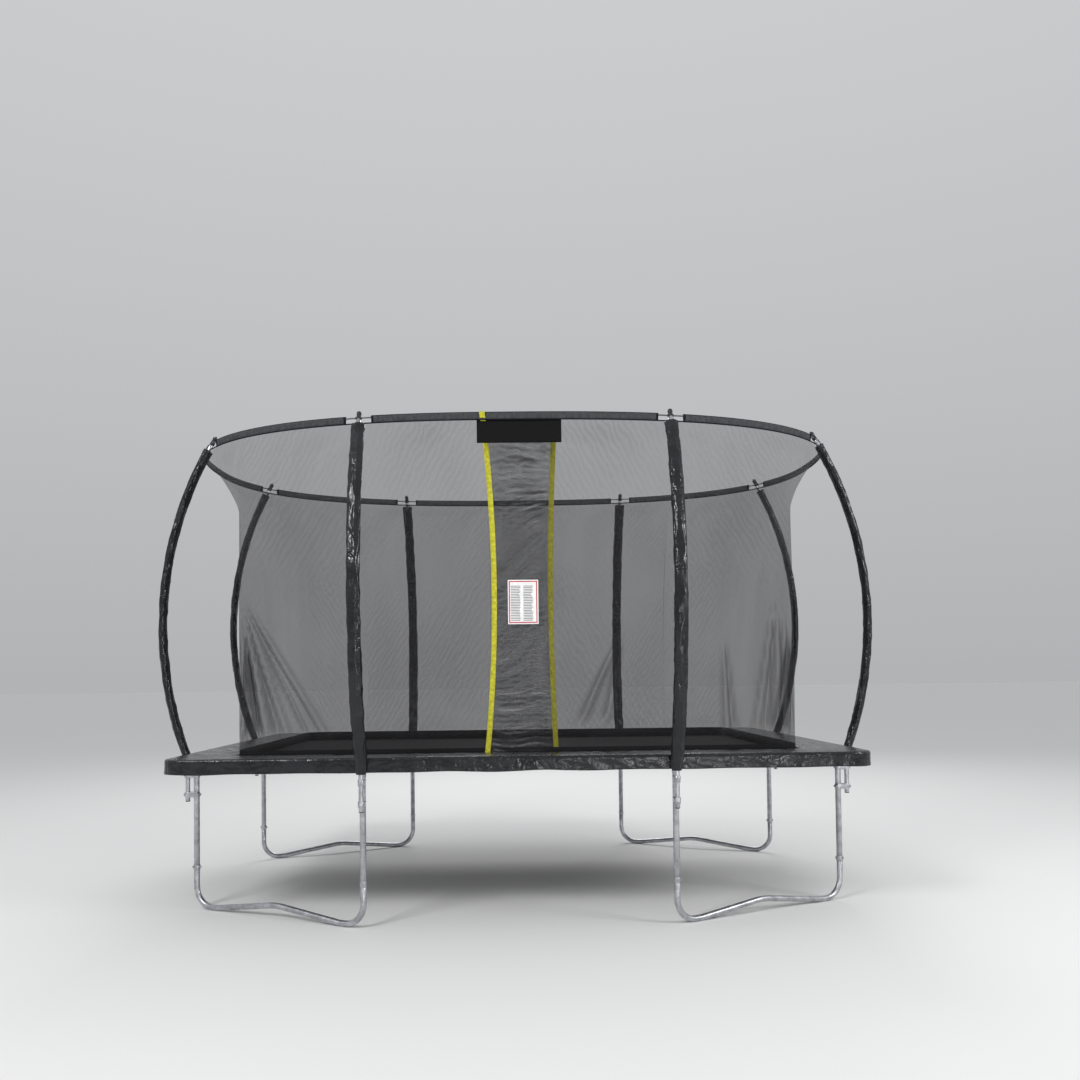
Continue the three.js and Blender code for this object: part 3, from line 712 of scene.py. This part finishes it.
def sleeve_point(turn, low, seed, swell):
    c, s = math.cos(turn), math.sin(turn)
    spot = Vector((c * 0.8 + seed * 3.1, s * 0.8, low * 5.0))
    crease = ridge(spot * 1.3) * 0.0030 + ridge(spot * 3.1) * 0.0015
    crease += noise.noise(spot * 7.0) * 0.0004
    pinch = math.exp(-low / 0.04) * math.sin(turn * 9 + seed) * 0.0018
    seam = SEAM_DEPTH * math.exp(-(((turn - SEAM_TURN) / 0.09) ** 2))
    r = 1 + (crease + pinch - 0.0026) / SLEEVE_THICK
    return SLEEVE_WIDE * c * r * swell, (SLEEVE_THICK * s * r - seam) * swell


def make_sleeve(pole, seed):
    path = pole.path(SLEEVE_LOW, CAP_LENGTH + SLEEVE_BARE_TOP, SLEEVE_STEP)
    length = (len(path) - 1) * SLEEVE_STEP
    turns = [2 * math.pi * k / SLEEVE_SIDES for k in range(SLEEVE_SIDES)]

    def offsets(i):
        low = i * SLEEVE_STEP
        swell = sleeve_swell(low, length - low)
        return [sleeve_point(turn, low, seed, swell) for turn in turns]

    loops = sweep(path, pole.side, offsets)
    way = (path[-1] - path[-2]).normalized()
    for k, point in enumerate(loops[-1]):
        loops[-1][k] = point + way * noise.noise(Vector((k * 0.8, seed, 5.0))) * 0.006
    rim = [path[-1].lerp(p, 0.86) - way * 0.004 for p in loops[-1]]
    tube = circle(POLE_TUBE / 2 + 0.001, SLEEVE_SIDES)
    inner = sweep(path, pole.side, lambda i: tube)
    skin = Skin().add([inner[2], inner[0]] + loops + [rim, inner[-2], inner[-5]], capped=False)
    piece = skin.make(f"sleeve_{pole.name}", VINYL)
    keep(piece, "frame", "vinyl", f"pole_sleeve_{pole.name}")


# ---- top ring, its cloth band and binding -----------------------------------------------------
RING_MEAN_RADIUS = 1.6  # only sets how many points the ring gets
BAND_STEP = 0.012


def ring_path(start, end, step=0.02):
    count = max(2, round((end - start) * RING_MEAN_RADIUS / step))
    angles = [start + (end - start) * k / count for k in range(count + 1)]
    return [polar(t, ring_radius(t), RING_Z) for t in angles]


def make_ring():
    whole = ring_path(0, 2 * math.pi)[:-1]
    rod = Skin().add(sweep(whole, UP, lambda i: circle(ROD_RADIUS, 12), wrap=True), wrap=True)
    keep(rod.make("ring_rod", ROD), "frame", "rod", "top_ring")
    binding = [Vector((p.x, p.y, NET_TOP - 0.003)) for p in whole]
    cord = Skin().add(sweep(binding, UP, lambda i: circle(BINDING_RADIUS, 10), wrap=True), wrap=True)
    keep(cord.make("net_binding", PIPING), "frame", "net")
    turns = sorted(math.atan2(p.crossing().y, p.crossing().x) % (2 * math.pi) for p in POLES)
    for k, turn in enumerate(turns):
        after = turns[(k + 1) % len(turns)] + (2 * math.pi if k == len(turns) - 1 else 0)
        cut_a = CUT_OUT / 2 / ring_radius(turn)
        cut_b = CUT_OUT / 2 / ring_radius(after)
        make_band(k, turn + cut_a, after - cut_b)


BAND_SECTION = [
    (0.0078, 0.0), (0.0065, 0.0040), (0.0010, 0.0056), (-0.0060, 0.0046), (-0.0160, 0.0024),
    (-0.0290, 0.0016), (-0.0290, -0.0016), (-0.0160, -0.0024), (-0.0060, -0.0046),
    (0.0010, -0.0056), (0.0065, -0.0040),
]


def make_band(index, start, end):
    path = ring_path(start, end, BAND_STEP)

    def section(i):
        wobble = noise.noise(Vector((index * 7.0, i * 0.35, 0))) * 0.0012
        return [(a, b + wobble * (0.0085 - a) / 0.03) for a, b in BAND_SECTION]

    skin = Skin().add(sweep(path, UP, section), uv=lambda i, k: (i * BAND_STEP, k * 0.006))
    keep(skin.make(f"ring_band_{index}", BAND), "frame", "net")
    piping = Skin()
    line = [Vector((p.x, p.y, RING_Z + 0.0085)) for p in path]
    piping.add(sweep(line, UP, lambda i: circle(PIPING_RADIUS, 8)))
    wrap_section = [(a + 0.0012 * (1 if a > -0.01 else -1), b * 1.22) for a, b in BAND_SECTION]
    for piece_path in (path[:2], path[-2:]):
        piping.add(sweep(piece_path, UP, lambda i: wrap_section))
    keep(piping.make(f"band_piping_{index}", PIPING), "frame", "net")


# ---- net --------------------------------------------------------------------------------------
def pulled_folds(s, z, folds):
    """Sum of straight folds. Each is (s0, z0, s1, z1, width, depth), fading to both ends."""
    total = 0.0
    for s0, z0, s1, z1, width, depth in folds:
        ds, dz = s1 - s0, z1 - z0
        span = math.hypot(ds, dz)
        t = ((s - s0) * ds + (z - z0) * dz) / (span * span)
        if not 0 < t < 1:
            continue
        off = abs((s - s0) * dz - (z - z0) * ds) / span
        fade = smooth_step(t / 0.15) * smooth_step((1 - t) / 0.5)
        total += depth * fade * math.exp(-((off / (width * (1.3 - 0.8 * t))) ** 2))
    return total


def fan(s_top, z_top, feet, width, depth):
    """Folds that run from feet along the hem up to one pulled point."""
    low = NET_LOW + 0.03
    return [(foot, low, s_top, z_top, width, depth * (-1) ** k) for k, foot in enumerate(feet)]


def net_sheet(name, start, end, folds, columns, rows, material, seed):
    """start(z) and end(z) are polar angles. Folds add to the net's smooth surface."""
    low, top = WALL_LOW, NET_TOP
    grid, marks, shifts = [], [], []
    for j in range(rows + 1):
        z = low + (top - low) * j / rows
        a, b = start(z), end(z)
        row, spots = [], []
        travelled, last = 0.0, None
        for i in range(columns + 1):
            u = i / columns
            angle = a + (b - a) * u
            radius = net_radius(angle, z)
            here = polar(angle, radius, z)
            travelled += (here - last).length if last else 0.0
            last = here
            hold = smooth_step((z - low) / 0.15) * smooth_step((top - z) / 0.12)
            wave = noise.noise(Vector((travelled * 1.4 + seed, z * 0.9, seed))) * 0.012
            wave += noise.noise(Vector((travelled * 5.0, z * 1.6, seed + 4))) * 0.004
            shift = (wave + pulled_folds(travelled, z, folds)) * hold
            shifts.append(shift)
            row.append(polar(angle, radius + shift, z))
            spots.append((travelled, z))
        grid.append(row)
        marks += spots
    piece = shaded_net(name, grid, marks, shifts, material, 1.5)
    girths = [marks[(j + 1) * (columns + 1) - 1][0] for j in range(rows + 1)]
    return piece, girths


def shaded_net(name, grid, marks, shifts, material, gain):
    """A net from its grid of points. Its shade attribute says how far it leans at each one."""
    across = len(grid[0])
    skin = Skin().add(grid, closed=False, capped=False, uv=lambda i, k: marks[i * across + k])
    piece = skin.make(name, material)
    layer = piece.data.attributes.new("shade", "FLOAT", "POINT")
    last = len(shifts) - 1
    for index in range(len(shifts)):
        side = index + 1 if (index + 1) % across else index - 1
        above = min(index + across, last)
        run = marks[side][0] - marks[index][0]
        rise = marks[above][1] - marks[index][1]
        lean = (shifts[side] - shifts[index]) / run if run else 0.0
        tip = (shifts[above] - shifts[index]) / rise if rise else 0.0
        layer.data[index].value = max(-1.0, min(1.0, gain * (lean * 0.8 + tip)))
    return piece


BACK_RIGHT, BACK_LEFT = math.radians(40), math.radians(140)
DOOR_LEFT, DOOR_RIGHT = DOOR_X - DOOR_HALF, DOOR_X + DOOR_HALF - WALL_OVERLAP


def seam_at(place, z):
    """A straight upright seam: the same angle, or the same x, at every height z."""
    return place


def make_walls():
    """Each wall runs between two seams: at the entrance or towards the back corners."""
    left_folds = fan(1.385, 1.78, (1.30, 1.25, 1.20, 1.145, 1.07, 0.97, 0.84), 0.017, 0.016)
    left_folds += fan(1.30, 1.30, (1.385, 1.36), 0.012, 0.011)
    left_folds += fan(1.52, 1.60, (1.60, 1.75, 1.92), 0.03, 0.018)
    right_folds = fan(0.965, 1.55, (0.975, 1.03), 0.016, 0.014)
    right_folds += fan(1.27, 1.80, (1.12, 1.19, 1.25, 1.30, 1.34), 0.016, 0.014)
    right_folds += fan(1.48, 1.60, (1.56, 1.70, 1.88), 0.03, 0.018)
    back_folds = fan(0.30, 1.65, (0.45, 0.65), 0.03, 0.014)
    back_folds += fan(3.0, 1.65, (2.8, 2.6), 0.03, 0.014)
    from_left, from_right = (partial(front_angle, x) for x in (DOOR_LEFT, DOOR_RIGHT))
    back_right = partial(seam_at, BACK_RIGHT)
    back_left = partial(seam_at, BACK_LEFT)
    left_end = partial(seam_at, BACK_LEFT - 2 * math.pi)
    specs = [
        ("net_left", from_left, left_end, left_folds, 11.0),
        ("net_right", from_right, back_right, right_folds, 23.0),
        ("net_back", back_right, back_left, back_folds, 37.0),
    ]
    for node, start, end, folds, seed in specs:
        piece, girths = net_sheet(f"{node}_wall", start, end, folds, 300, 90, NET, seed)
        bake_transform(piece)
        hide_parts(node)
        middle_angle = (start(NET_LOW) + end(NET_LOW)) / 2


HEM_SECTION = (
    (0.0012, 0.0), (0.0016, 0.030), (0.0010, HEM_HEIGHT), (-0.0012, HEM_HEIGHT), (-0.0012, 0.0),
)


def make_hem():
    """The solid band at the net's foot, laced to the mat all round."""
    loops = []
    count = 420
    for k in range(count):
        angle = 2 * math.pi * k / count
        loops.append([])
        for out, z in HEM_SECTION:
            ripple = noise.noise(Vector((math.cos(angle) * 9, math.sin(angle) * 9, z * 12))) * 0.0035
            radius = net_radius(angle, NET_LOW + z) + out + ripple * min(1, z / 0.02)
            loops[-1].append(polar(angle, radius, NET_LOW + 0.0006 + z))
    skin = Skin().add(loops, wrap=True)
    keep(skin.make("net_hem", HEM), "mat", "net")


# ---- entrance: two overlapping layers, each with a webbing edge -------------------------------
STRIP = 0.028
STRIP_SECTION = (
    (-0.5, 0.0), (-0.47, 0.0011), (0.47, 0.0011), (0.5, 0.0), (0.47, -0.0011), (-0.47, -0.0011),
)


def left_edge(z):
    t = min(1, (z - NET_LOW) / (RING_Z - NET_LOW))
    return DOOR_X - 0.190 + 0.050 * max(0, math.sin(math.pi * t)) ** 0.8


def right_edge(z):
    t = min(1, (z - NET_LOW) / (RING_Z - NET_LOW))
    return DOOR_X + 0.190 - 0.024 * max(0, math.sin(math.pi * t)) ** 0.8


def entrance_wrinkle(x, z, seed):
    """Sideways ripples near the top and bottom, slanting pulled folds between."""
    middle_share = smooth_step((z - 1.15) / 0.3) * smooth_step((2.35 - z) / 0.3)
    slant = z - 0.95 * x * middle_share
    drift = noise.noise(Vector((x * 5.0, z * 3.0, seed + 6))) * 0.03
    w = noise.noise(Vector((x * 2.0 + seed, (slant + drift) * 12.0, seed + 0.4))) * 0.0100
    w += noise.noise(Vector((x * 5.0, (slant + drift) * 50.0, seed + 2.4))) * 0.0034
    return w


def entrance_layer(name, from_x, to_x, stand, seed, node):
    """One layer, from its hinge line to its free edge. stand is how far in front it hangs."""
    low, top = FLAP_LOW, NET_TOP
    columns, rows = 40, 300
    grid, marks, shifts = [], [], []
    for j in range(rows + 1):
        z = low + (top - low) * j / rows
        a, b = from_x(z), to_x(z)
        row = []
        for i in range(columns + 1):
            u = i / columns
            x = a + (b - a) * u
            angle = front_angle(x, z)
            clear = stand * smooth_step(u * 3)
            hold = smooth_step((top - z) / 0.10) * smooth_step(u * 4) * smooth_step((1.02 - u) * 5)
            shifts.append(entrance_wrinkle(x, z, seed) * hold)
            radius = net_radius(angle, z) + clear + shifts[-1]
            row.append(polar(angle, radius, z))
            marks.append((x, z))
        grid.append(row)
    piece = shaded_net(name, grid, marks, shifts, FLAP_NET, 2.2)
    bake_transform(piece)
    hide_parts(*node)
    widths = [abs(to_x(NET_LOW + z * 0.1) - from_x(NET_LOW + z * 0.1)) for z in range(18)]


def edge_strip(name, edge, stand, low):
    """Folded webbing over a layer's free edge."""
    top = RING_Z + 0.009
    loops, marks = [], []
    rows = 150
    for j in range(rows + 1):
        z = low + (top - low) * j / rows
        centre = edge(z)
        wobble = noise.noise(Vector((3.0, z * 4.0, stand * 50))) * 0.0012
        loop = []
        for across, out in STRIP_SECTION:
            x = centre + across * STRIP
            angle = front_angle(x, min(z, RING_Z))
            radius = net_radius(angle, min(z, RING_Z)) + stand + out + wobble
            loop.append(polar(angle, radius, z))
            marks.append((across * STRIP, z))
        loops.append(loop)
    skin = Skin().add(loops, uv=lambda i, k: marks[i * 6 + k])
    piece = skin.make(name, TRIM)
    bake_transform(piece)


def make_entrance():
    outer_hinge, inner_hinge = partial(seam_at, DOOR_RIGHT), partial(seam_at, DOOR_LEFT)
    outer_nodes = ["door_outer_flap"]
    inner_nodes = ["door_inner_flap", "net_header"]
    entrance_layer("outer_flap_net", outer_hinge, left_edge, 0.010, 5.0, outer_nodes)
    entrance_layer("inner_flap_net", inner_hinge, right_edge, -0.010, 9.0, inner_nodes)
    edge_strip("outer_flap_edge", left_edge, 0.0135, NET_LOW + 0.004)
    edge_strip("inner_flap_edge", right_edge, -0.0075, NET_LOW + 0.004)


def make_banner():
    low, high = BANNER_LOW, BANNER_HIGH
    skin = Skin()
    columns, rows = 40, 12
    front, back = [], []
    for j in range(rows + 1):
        z = low.z + (high.z - low.z) * j / rows
        row = []
        for i in range(columns + 1):
            x = low.x + (high.x - low.x) * i / columns
            ripple = noise.noise(Vector((x * 6, z * 8, 1.5))) * 0.0014 * (1 - j / rows)
            row.append(Vector((x, low.y + ripple, z)))
        front.append(row)
        back.append([Vector((p.x, p.y + 0.0016, p.z)) for p in reversed(row)])
    skin.add([f + b for f, b in zip(front, back)])
    keep(skin.make("banner_cloth", BANNER_CLOTH), "frame", "banner", "banner")


CARD, INK = 0.0012, 0.0005
LABEL_MARGIN, BORDER = 0.006, 0.0055
TEXT_ROWS, TEXT_PITCH, TEXT_TALL, TEXT_WIDE = 22, 0.0088, 0.0035, 0.052
TEXT_INSET, TEXT_DROP, TEXT_RAG, COLUMN_PITCH = 0.010, 0.030, 0.016, 0.068


def make_label():
    """A blank safety card: a border and plain grey bars, no lettering."""
    low, high = LABEL_LOW, LABEL_HIGH
    card = Skin()
    box_skin(card, (low.x, high.y - CARD, low.z), (high.x, high.y, high.z))
    keep(card.make("label_card", PAPER, smooth=False), "outer_flap", "label", "label")
    y0, y1 = high.y - CARD - INK, high.y - CARD
    red, grey = Skin(), Skin()
    x0, x1 = low.x + LABEL_MARGIN, high.x - LABEL_MARGIN
    z0, z1 = low.z + LABEL_MARGIN, high.z - LABEL_MARGIN
    box_skin(red, (x0, y0, z0), (x1, y1, z0 + BORDER))
    box_skin(red, (x0, y0, z1 - BORDER), (x1, y1, z1))
    box_skin(red, (x0, y0, z0 + BORDER), (x0 + BORDER, y1, z1 - BORDER))
    box_skin(red, (x1 - BORDER, y0, z0 + BORDER), (x1, y1, z1 - BORDER))
    for column in (0, 1):
        left = x0 + TEXT_INSET + column * COLUMN_PITCH
        for row in range(TEXT_ROWS):
            z = z1 - TEXT_DROP - row * TEXT_PITCH
            ragged = abs(noise.noise(Vector((row * 1.7, column * 5.0, 2.0))))
            width = TEXT_WIDE - TEXT_RAG * ragged
            box_skin(grey, (left, y0, z), (left + width, y1, z + TEXT_TALL))
    keep(red.make("label_border", PRINT_RED, smooth=False), "outer_flap", "label")
    keep(grey.make("label_lines", PRINT_GREY, smooth=False), "outer_flap", "label")


# ---- mat, springs -----------------------------------------------------------------------------
def make_mat():
    """A taut woven sheet with a doubled hem, a little lower in the middle."""
    half_x, half_y = MAT_HIGH.x, MAT_HIGH.y
    columns, rows = 90, 60
    grid = []
    for j in range(rows + 1):
        row = []
        for i in range(columns + 1):
            u, v = 2 * i / columns - 1, 2 * j / rows - 1
            x, y = u * half_x, v * half_y
            over_x, over_y = abs(x) - half_x + MAT_CORNER, abs(y) - half_y + MAT_CORNER
            if over_x > 0 and over_y > 0:
                longest = max(over_x, over_y)
                pull = longest / math.hypot(over_x, over_y)
                x = math.copysign(half_x - MAT_CORNER + over_x * pull, x)
                y = math.copysign(half_y - MAT_CORNER + over_y * pull, y)
            sag = MAT_SAG * (1 - u * u) * (1 - v * v)
            row.append(Vector((x, y, MAT_HIGH.z - 0.001 - sag)))
        grid.append(row)
    skin = Skin().add(grid, closed=False, capped=False)
    piece = skin.make("mat_cloth", MAT_CLOTH)
    keep(piece, "mat", "mat", "mat")
    edge = rounded_rectangle(half_x - 0.016, half_y - 0.016, MAT_CORNER - 0.016)
    half_hem = HEM_WIDTH / 2
    section = [(-0.0030, -half_hem), (-0.0030, half_hem), (0.0018, half_hem), (0.0018, -half_hem)]
    centre = MAT_HIGH.z - 0.001
    path = [Vector((x, y, centre)) for x, y in edge]
    hem = Skin().add(sweep(path, UP, lambda i: section, wrap=True), wrap=True)
    keep(hem.make("mat_hem", HEM), "mat", "mat")


def rounded_rectangle(half_x, half_y, radius, steps=10, straight=24):
    points = []
    for quadrant, (sx, sy) in enumerate(((1, 1), (-1, 1), (-1, -1), (1, -1))):
        cx, cy = sx * (half_x - radius), sy * (half_y - radius)
        for k in range(steps + 1):
            turn = math.pi / 2 * (quadrant + k / steps)
            points.append((cx + radius * math.cos(turn), cy + radius * math.sin(turn)))
    dense = []
    for (x0, y0), (x1, y1) in zip(points, points[1:] + points[:1]):
        parts = straight if math.hypot(x1 - x0, y1 - y0) > 0.3 else 1
        dense += [(x0 + (x1 - x0) * k / parts, y0 + (y1 - y0) * k / parts) for k in range(parts)]
    return dense


def add_spring(skin, inner, outer, out):
    """One coil spring: a body with a rib for each coil, and a hook on each end."""
    body_to = (outer - inner).length - HOOK
    step = (body_to - HOOK) / SPRING_COILS
    groove = SPRING_RADIUS - SPRING_WIRE
    profile = [(0.004, HOOK - 0.002)]
    for k in range(SPRING_COILS):
        place = HOOK + step * k
        profile += [(groove, place), (SPRING_RADIUS, place + step / 2)]
    profile += [(groove, body_to), (0.004, body_to + 0.002)]
    lathe(skin, inner, out, profile, 10)
    for root, way in ((inner + out * HOOK, -out), (inner + out * body_to, out)):
        bends = ((0, 0), (0.55, 0), (0.9, 0.002), (1, -0.003), (0.86, -0.007))
        path = [root + way * HOOK * share + UP * rise for share, rise in bends]
        skin.add(sweep(path, UP.cross(out), lambda i: circle(SPRING_WIRE, 6)))


def make_springs():
    z = (MAT_LOW.z + MAT_HIGH.z) / 2
    rows = {
        "front": ("long", Vector((0, -1, 0)), MAT_HIGH.y, HALF_Y),
        "back": ("long", Vector((0, 1, 0)), MAT_HIGH.y, HALF_Y),
        "left": ("short", Vector((-1, 0, 0)), MAT_HIGH.x, HALF_X),
        "right": ("short", Vector((1, 0, 0)), MAT_HIGH.x, HALF_X),
    }
    for name, (row, out, near, far) in rows.items():
        count, pitch = SPRING_ROWS[row]
        side = UP.cross(out)
        start = near - 0.004
        end = far - FRAME_TUBE / 2 + 0.004
        skin = Skin()
        for k in range(count):
            across = side * (k - (count - 1) / 2) * pitch
            add_spring(skin, out * start + across + UP * z, out * end + across + UP * z, out)
        piece = skin.make(f"springs_{name}", WIRE)
        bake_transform(piece)
        if name == "front":
            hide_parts("springs")


# ---- pads: vinyl over foam, with a hanging skirt ----------------------------------------------
PAD_STEP = 0.010
SKIRT_TOP, SKIRT_DROP, SKIRT_SHARE = 0.854, 0.06, 0.015
PAD_CROWN = 0.86
PAD_PROFILE = [
    # share of the way from the outer edge in, height, how much the cloth moves there
    *[(0.0, 0.794 + 0.005 * k, 1.0) for k in range(9)],
    (0.0, 0.839, 0.9), (0.0, 0.844, 0.8), (0.0, 0.849, 0.6),
    (0.001, 0.854, 0.25), (0.006, 0.863, 0.2), (0.018, 0.8685, 0.2), (0.06, 0.8712, 0.5),
    (0.15, 0.8725, 0.8),
    (0.30, 0.8730, 1.0), (0.50, 0.8730, 1.0), (0.70, 0.8725, 1.0), (0.86, 0.8712, 0.8),
    (0.95, 0.8690, 0.5),
    (0.985, 0.8650, 0.2), (1.000, 0.8580, 0.1), (0.985, 0.8510, 0.1), (0.95, 0.8475, 0.1),
    (0.50, 0.8468, 0.1), (0.06, 0.8468, 0.1), (0.018, 0.8450, 0.2), (0.0125, 0.8380, 0.5),
    (0.0110, 0.8280, 0.8), (0.0100, 0.8100, 1.0),
    (0.0100, 0.7945, 1.0),
]


def quarter_path(half_long, half_short, radius, steps, straight):
    """Along one side, from the middle of one corner's arc to the middle of the next."""
    x0 = half_long - radius
    y0 = radius - half_short
    arcs = []
    for centre, first in ((-x0, 225), (x0, 270)):
        turns = [math.radians(first + 45 * k / steps) for k in range(steps + 1)]
        arcs.append([(centre + radius * math.cos(t), y0 + radius * math.sin(t)) for t in turns])
    between = [(-x0 + 2 * x0 * k / straight, -half_short) for k in range(1, straight)]
    return arcs[0] + between + arcs[1]


def skirt_shift(x, z, loose, away, seed):
    """How the hanging skirt's folds move a point, out and up or down."""
    hang = max(0.0, (SKIRT_TOP - z) / SKIRT_DROP)
    spot = Vector((x * 5 + seed, z * 9 + x * 2, 3.0))
    fold = 0.0035 * ridge(spot) + 0.0025 * ridge(spot * 2.7) - 0.0042
    fold += noise.noise(spot * 0.6) * 0.0025
    hem_wave = noise.noise(Vector((x * 4 + seed, 0, 9.0))) * 0.006 * hang
    return away * fold * loose * min(1, 0.35 + hang) + UP * hem_wave


def pad_lump(x, share, z, seed):
    """Soft unevenness of the foam under the cover."""
    spot = Vector((x + seed, share * 0.6 + seed, z * 3))
    return noise.noise(spot * 5.0) * 0.0030 + noise.noise(spot * 14.0) * 0.0014


def make_pad(name, half_long, half_short, net_long, net_short, turn, seed):
    straight = round(2 * half_long / PAD_STEP)
    outer = quarter_path(half_long, half_short, PAD_CORNER, 8, straight)
    inner = quarter_path(net_long + PAD_GAP, net_short + PAD_GAP, PAD_INNER_CORNER, 8, straight)
    spin = Matrix.Rotation(math.radians(turn), 3, "Z")
    loops = []
    for i, ((ox, oy), (ix, iy)) in enumerate(zip(outer, inner)):
        away = Vector((ox - ix, oy - iy, 0)).normalized()
        end_hold = smooth_step(min(i, len(outer) - 1 - i) / 6)
        loop = []
        for share, z, loose in PAD_PROFILE:
            point = Vector((ox + (ix - ox) * share, oy + (iy - oy) * share, z))
            if share < SKIRT_SHARE:
                point += skirt_shift(ox, z, loose, away, seed) * end_hold
            elif z > PAD_CROWN:
                point.z += (pad_lump(ox, share, z, seed) - 0.0015) * loose * end_hold
            loop.append(spin @ point)
        loops.append(loop)
    piece = Skin().add(loops).make(f"{name}_cover", VINYL)
    keep(piece, "frame", "vinyl", name)


def make_pads():
    long_side = (PAD_HALF_X, PAD_HALF_Y, NET_X, NET_Y)
    short_side = (PAD_HALF_Y, PAD_HALF_X, NET_Y, NET_X)
    make_pad("pad_front", *long_side, 0, 1.0)
    make_pad("pad_back", *long_side, 180, 13.0)
    make_pad("pad_right", *short_side, 90, 29.0)
    make_pad("pad_left", *short_side, -90, 41.0)


# ---- stage, light and camera ------------------------------------------------------------------
SKY = 0.62


def make_stage():
    floor = bpy.data.materials.new("pale_floor")
    floor.use_nodes = True
    shader = floor.node_tree.nodes["Principled BSDF"]
    shader.inputs["Base Color"].default_value = (0.785, 0.785, 0.78, 1)
    shader.inputs["Roughness"].default_value = 0.8
    shader.inputs["Specular IOR Level"].default_value = 0.1
    reach = 150
    corners = [(-reach, -reach, 0), (reach, -reach, 0), (reach, reach, 0), (-reach, reach, 0)]
    ground = mesh_object("studio_floor", corners, [(0, 1, 2, 3)], floor)
    world = bpy.data.worlds.new("studio_sky")
    world.use_nodes = True
    tree = world.node_tree
    place = tree.nodes.new("ShaderNodeTexCoord")
    split = tree.nodes.new("ShaderNodeSeparateXYZ")
    lift = tree.nodes.new("ShaderNodeMapRange")
    lift.inputs["From Max"].default_value = 0.6
    lift.inputs["To Min"].default_value = 0.74 * SKY
    lift.inputs["To Max"].default_value = SKY
    tree.links.new(place.outputs["Generated"], split.inputs["Vector"])
    tree.links.new(split.outputs["Z"], lift.inputs["Value"])
    tree.links.new(lift.outputs["Result"], tree.nodes["Background"].inputs["Strength"])
    tree.nodes["Background"].inputs["Color"].default_value = (0.97, 0.98, 1.0, 1)
    bpy.context.scene.world = world
    bpy.context.scene.view_settings.view_transform = "Standard"


def area_light(name, place, target, size, power):
    light = bpy.data.lights.new(name, "AREA")
    light.shape = "RECTANGLE"
    light.size, light.size_y = size
    light.energy = power
    lamp = bpy.data.objects.new(name, light)
    lamp.location = place
    lamp.rotation_euler = (Vector(target) - Vector(place)).to_track_quat("-Z", "Y").to_euler()
    bpy.context.scene.collection.objects.link(lamp)


CAMERA_PLACE = (-0.0391, -5.9651, 1.2541)
CAMERA_YAW, CAMERA_PITCH, CAMERA_ROLL = -0.0118, 0.0276, -0.0119
CAMERA_LENS, CAMERA_SENSOR = 30.9167, 36
CAMERA_SHIFT = (0.017407, 0.106389)


def make_camera():
    flat = Vector((-math.sin(CAMERA_YAW), math.cos(CAMERA_YAW), 0))
    ahead = flat * math.cos(CAMERA_PITCH) + UP * math.sin(CAMERA_PITCH)
    right = Vector((math.cos(CAMERA_YAW), math.sin(CAMERA_YAW), 0))
    above = right.cross(ahead)
    turned_right = right * math.cos(CAMERA_ROLL) + above * math.sin(CAMERA_ROLL)
    turned_up = above * math.cos(CAMERA_ROLL) - right * math.sin(CAMERA_ROLL)
    data = bpy.data.cameras.new("camera")
    data.sensor_width = CAMERA_SENSOR
    data.lens = CAMERA_LENS
    data.shift_x, data.shift_y = CAMERA_SHIFT
    camera = bpy.data.objects.new("camera", data)
    axes = Matrix((turned_right, turned_up, -ahead)).transposed()
    camera.matrix_world = Matrix.Translation(CAMERA_PLACE) @ axes.to_4x4()
    bpy.context.scene.collection.objects.link(camera)
    bpy.context.scene.camera = camera


LIGHTS = [
    # name, place, target, size, watts
    ("key_light", (-4.5, -6.5, 6.5), (0, 0, 1.2), (2.2, 2.2), 330),
    ("fill_light", (6.0, -4.0, 4.0), (0, 0, 1.2), (1.8, 1.8), 170),
    ("low_card", (2.2, -8.5, 0.9), (0, -1.2, 0.85), (2.6, 0.5), 70),
    ("rim_light", (1.0, 7.0, 6.0), (0, 0, 1.4), (5, 2), 220),
]

make_camera()
make_stage()
for light in LIGHTS:
    area_light(*light)

make_frame_tubes()
make_leg_bases()
make_posts()
make_poles()
for number, pole in enumerate(POLES):
    make_sleeve(pole, number * 1.7)
make_ring()
make_walls()
make_hem()
make_entrance()
make_banner()
make_label()
make_mat()
make_springs()
make_pads()
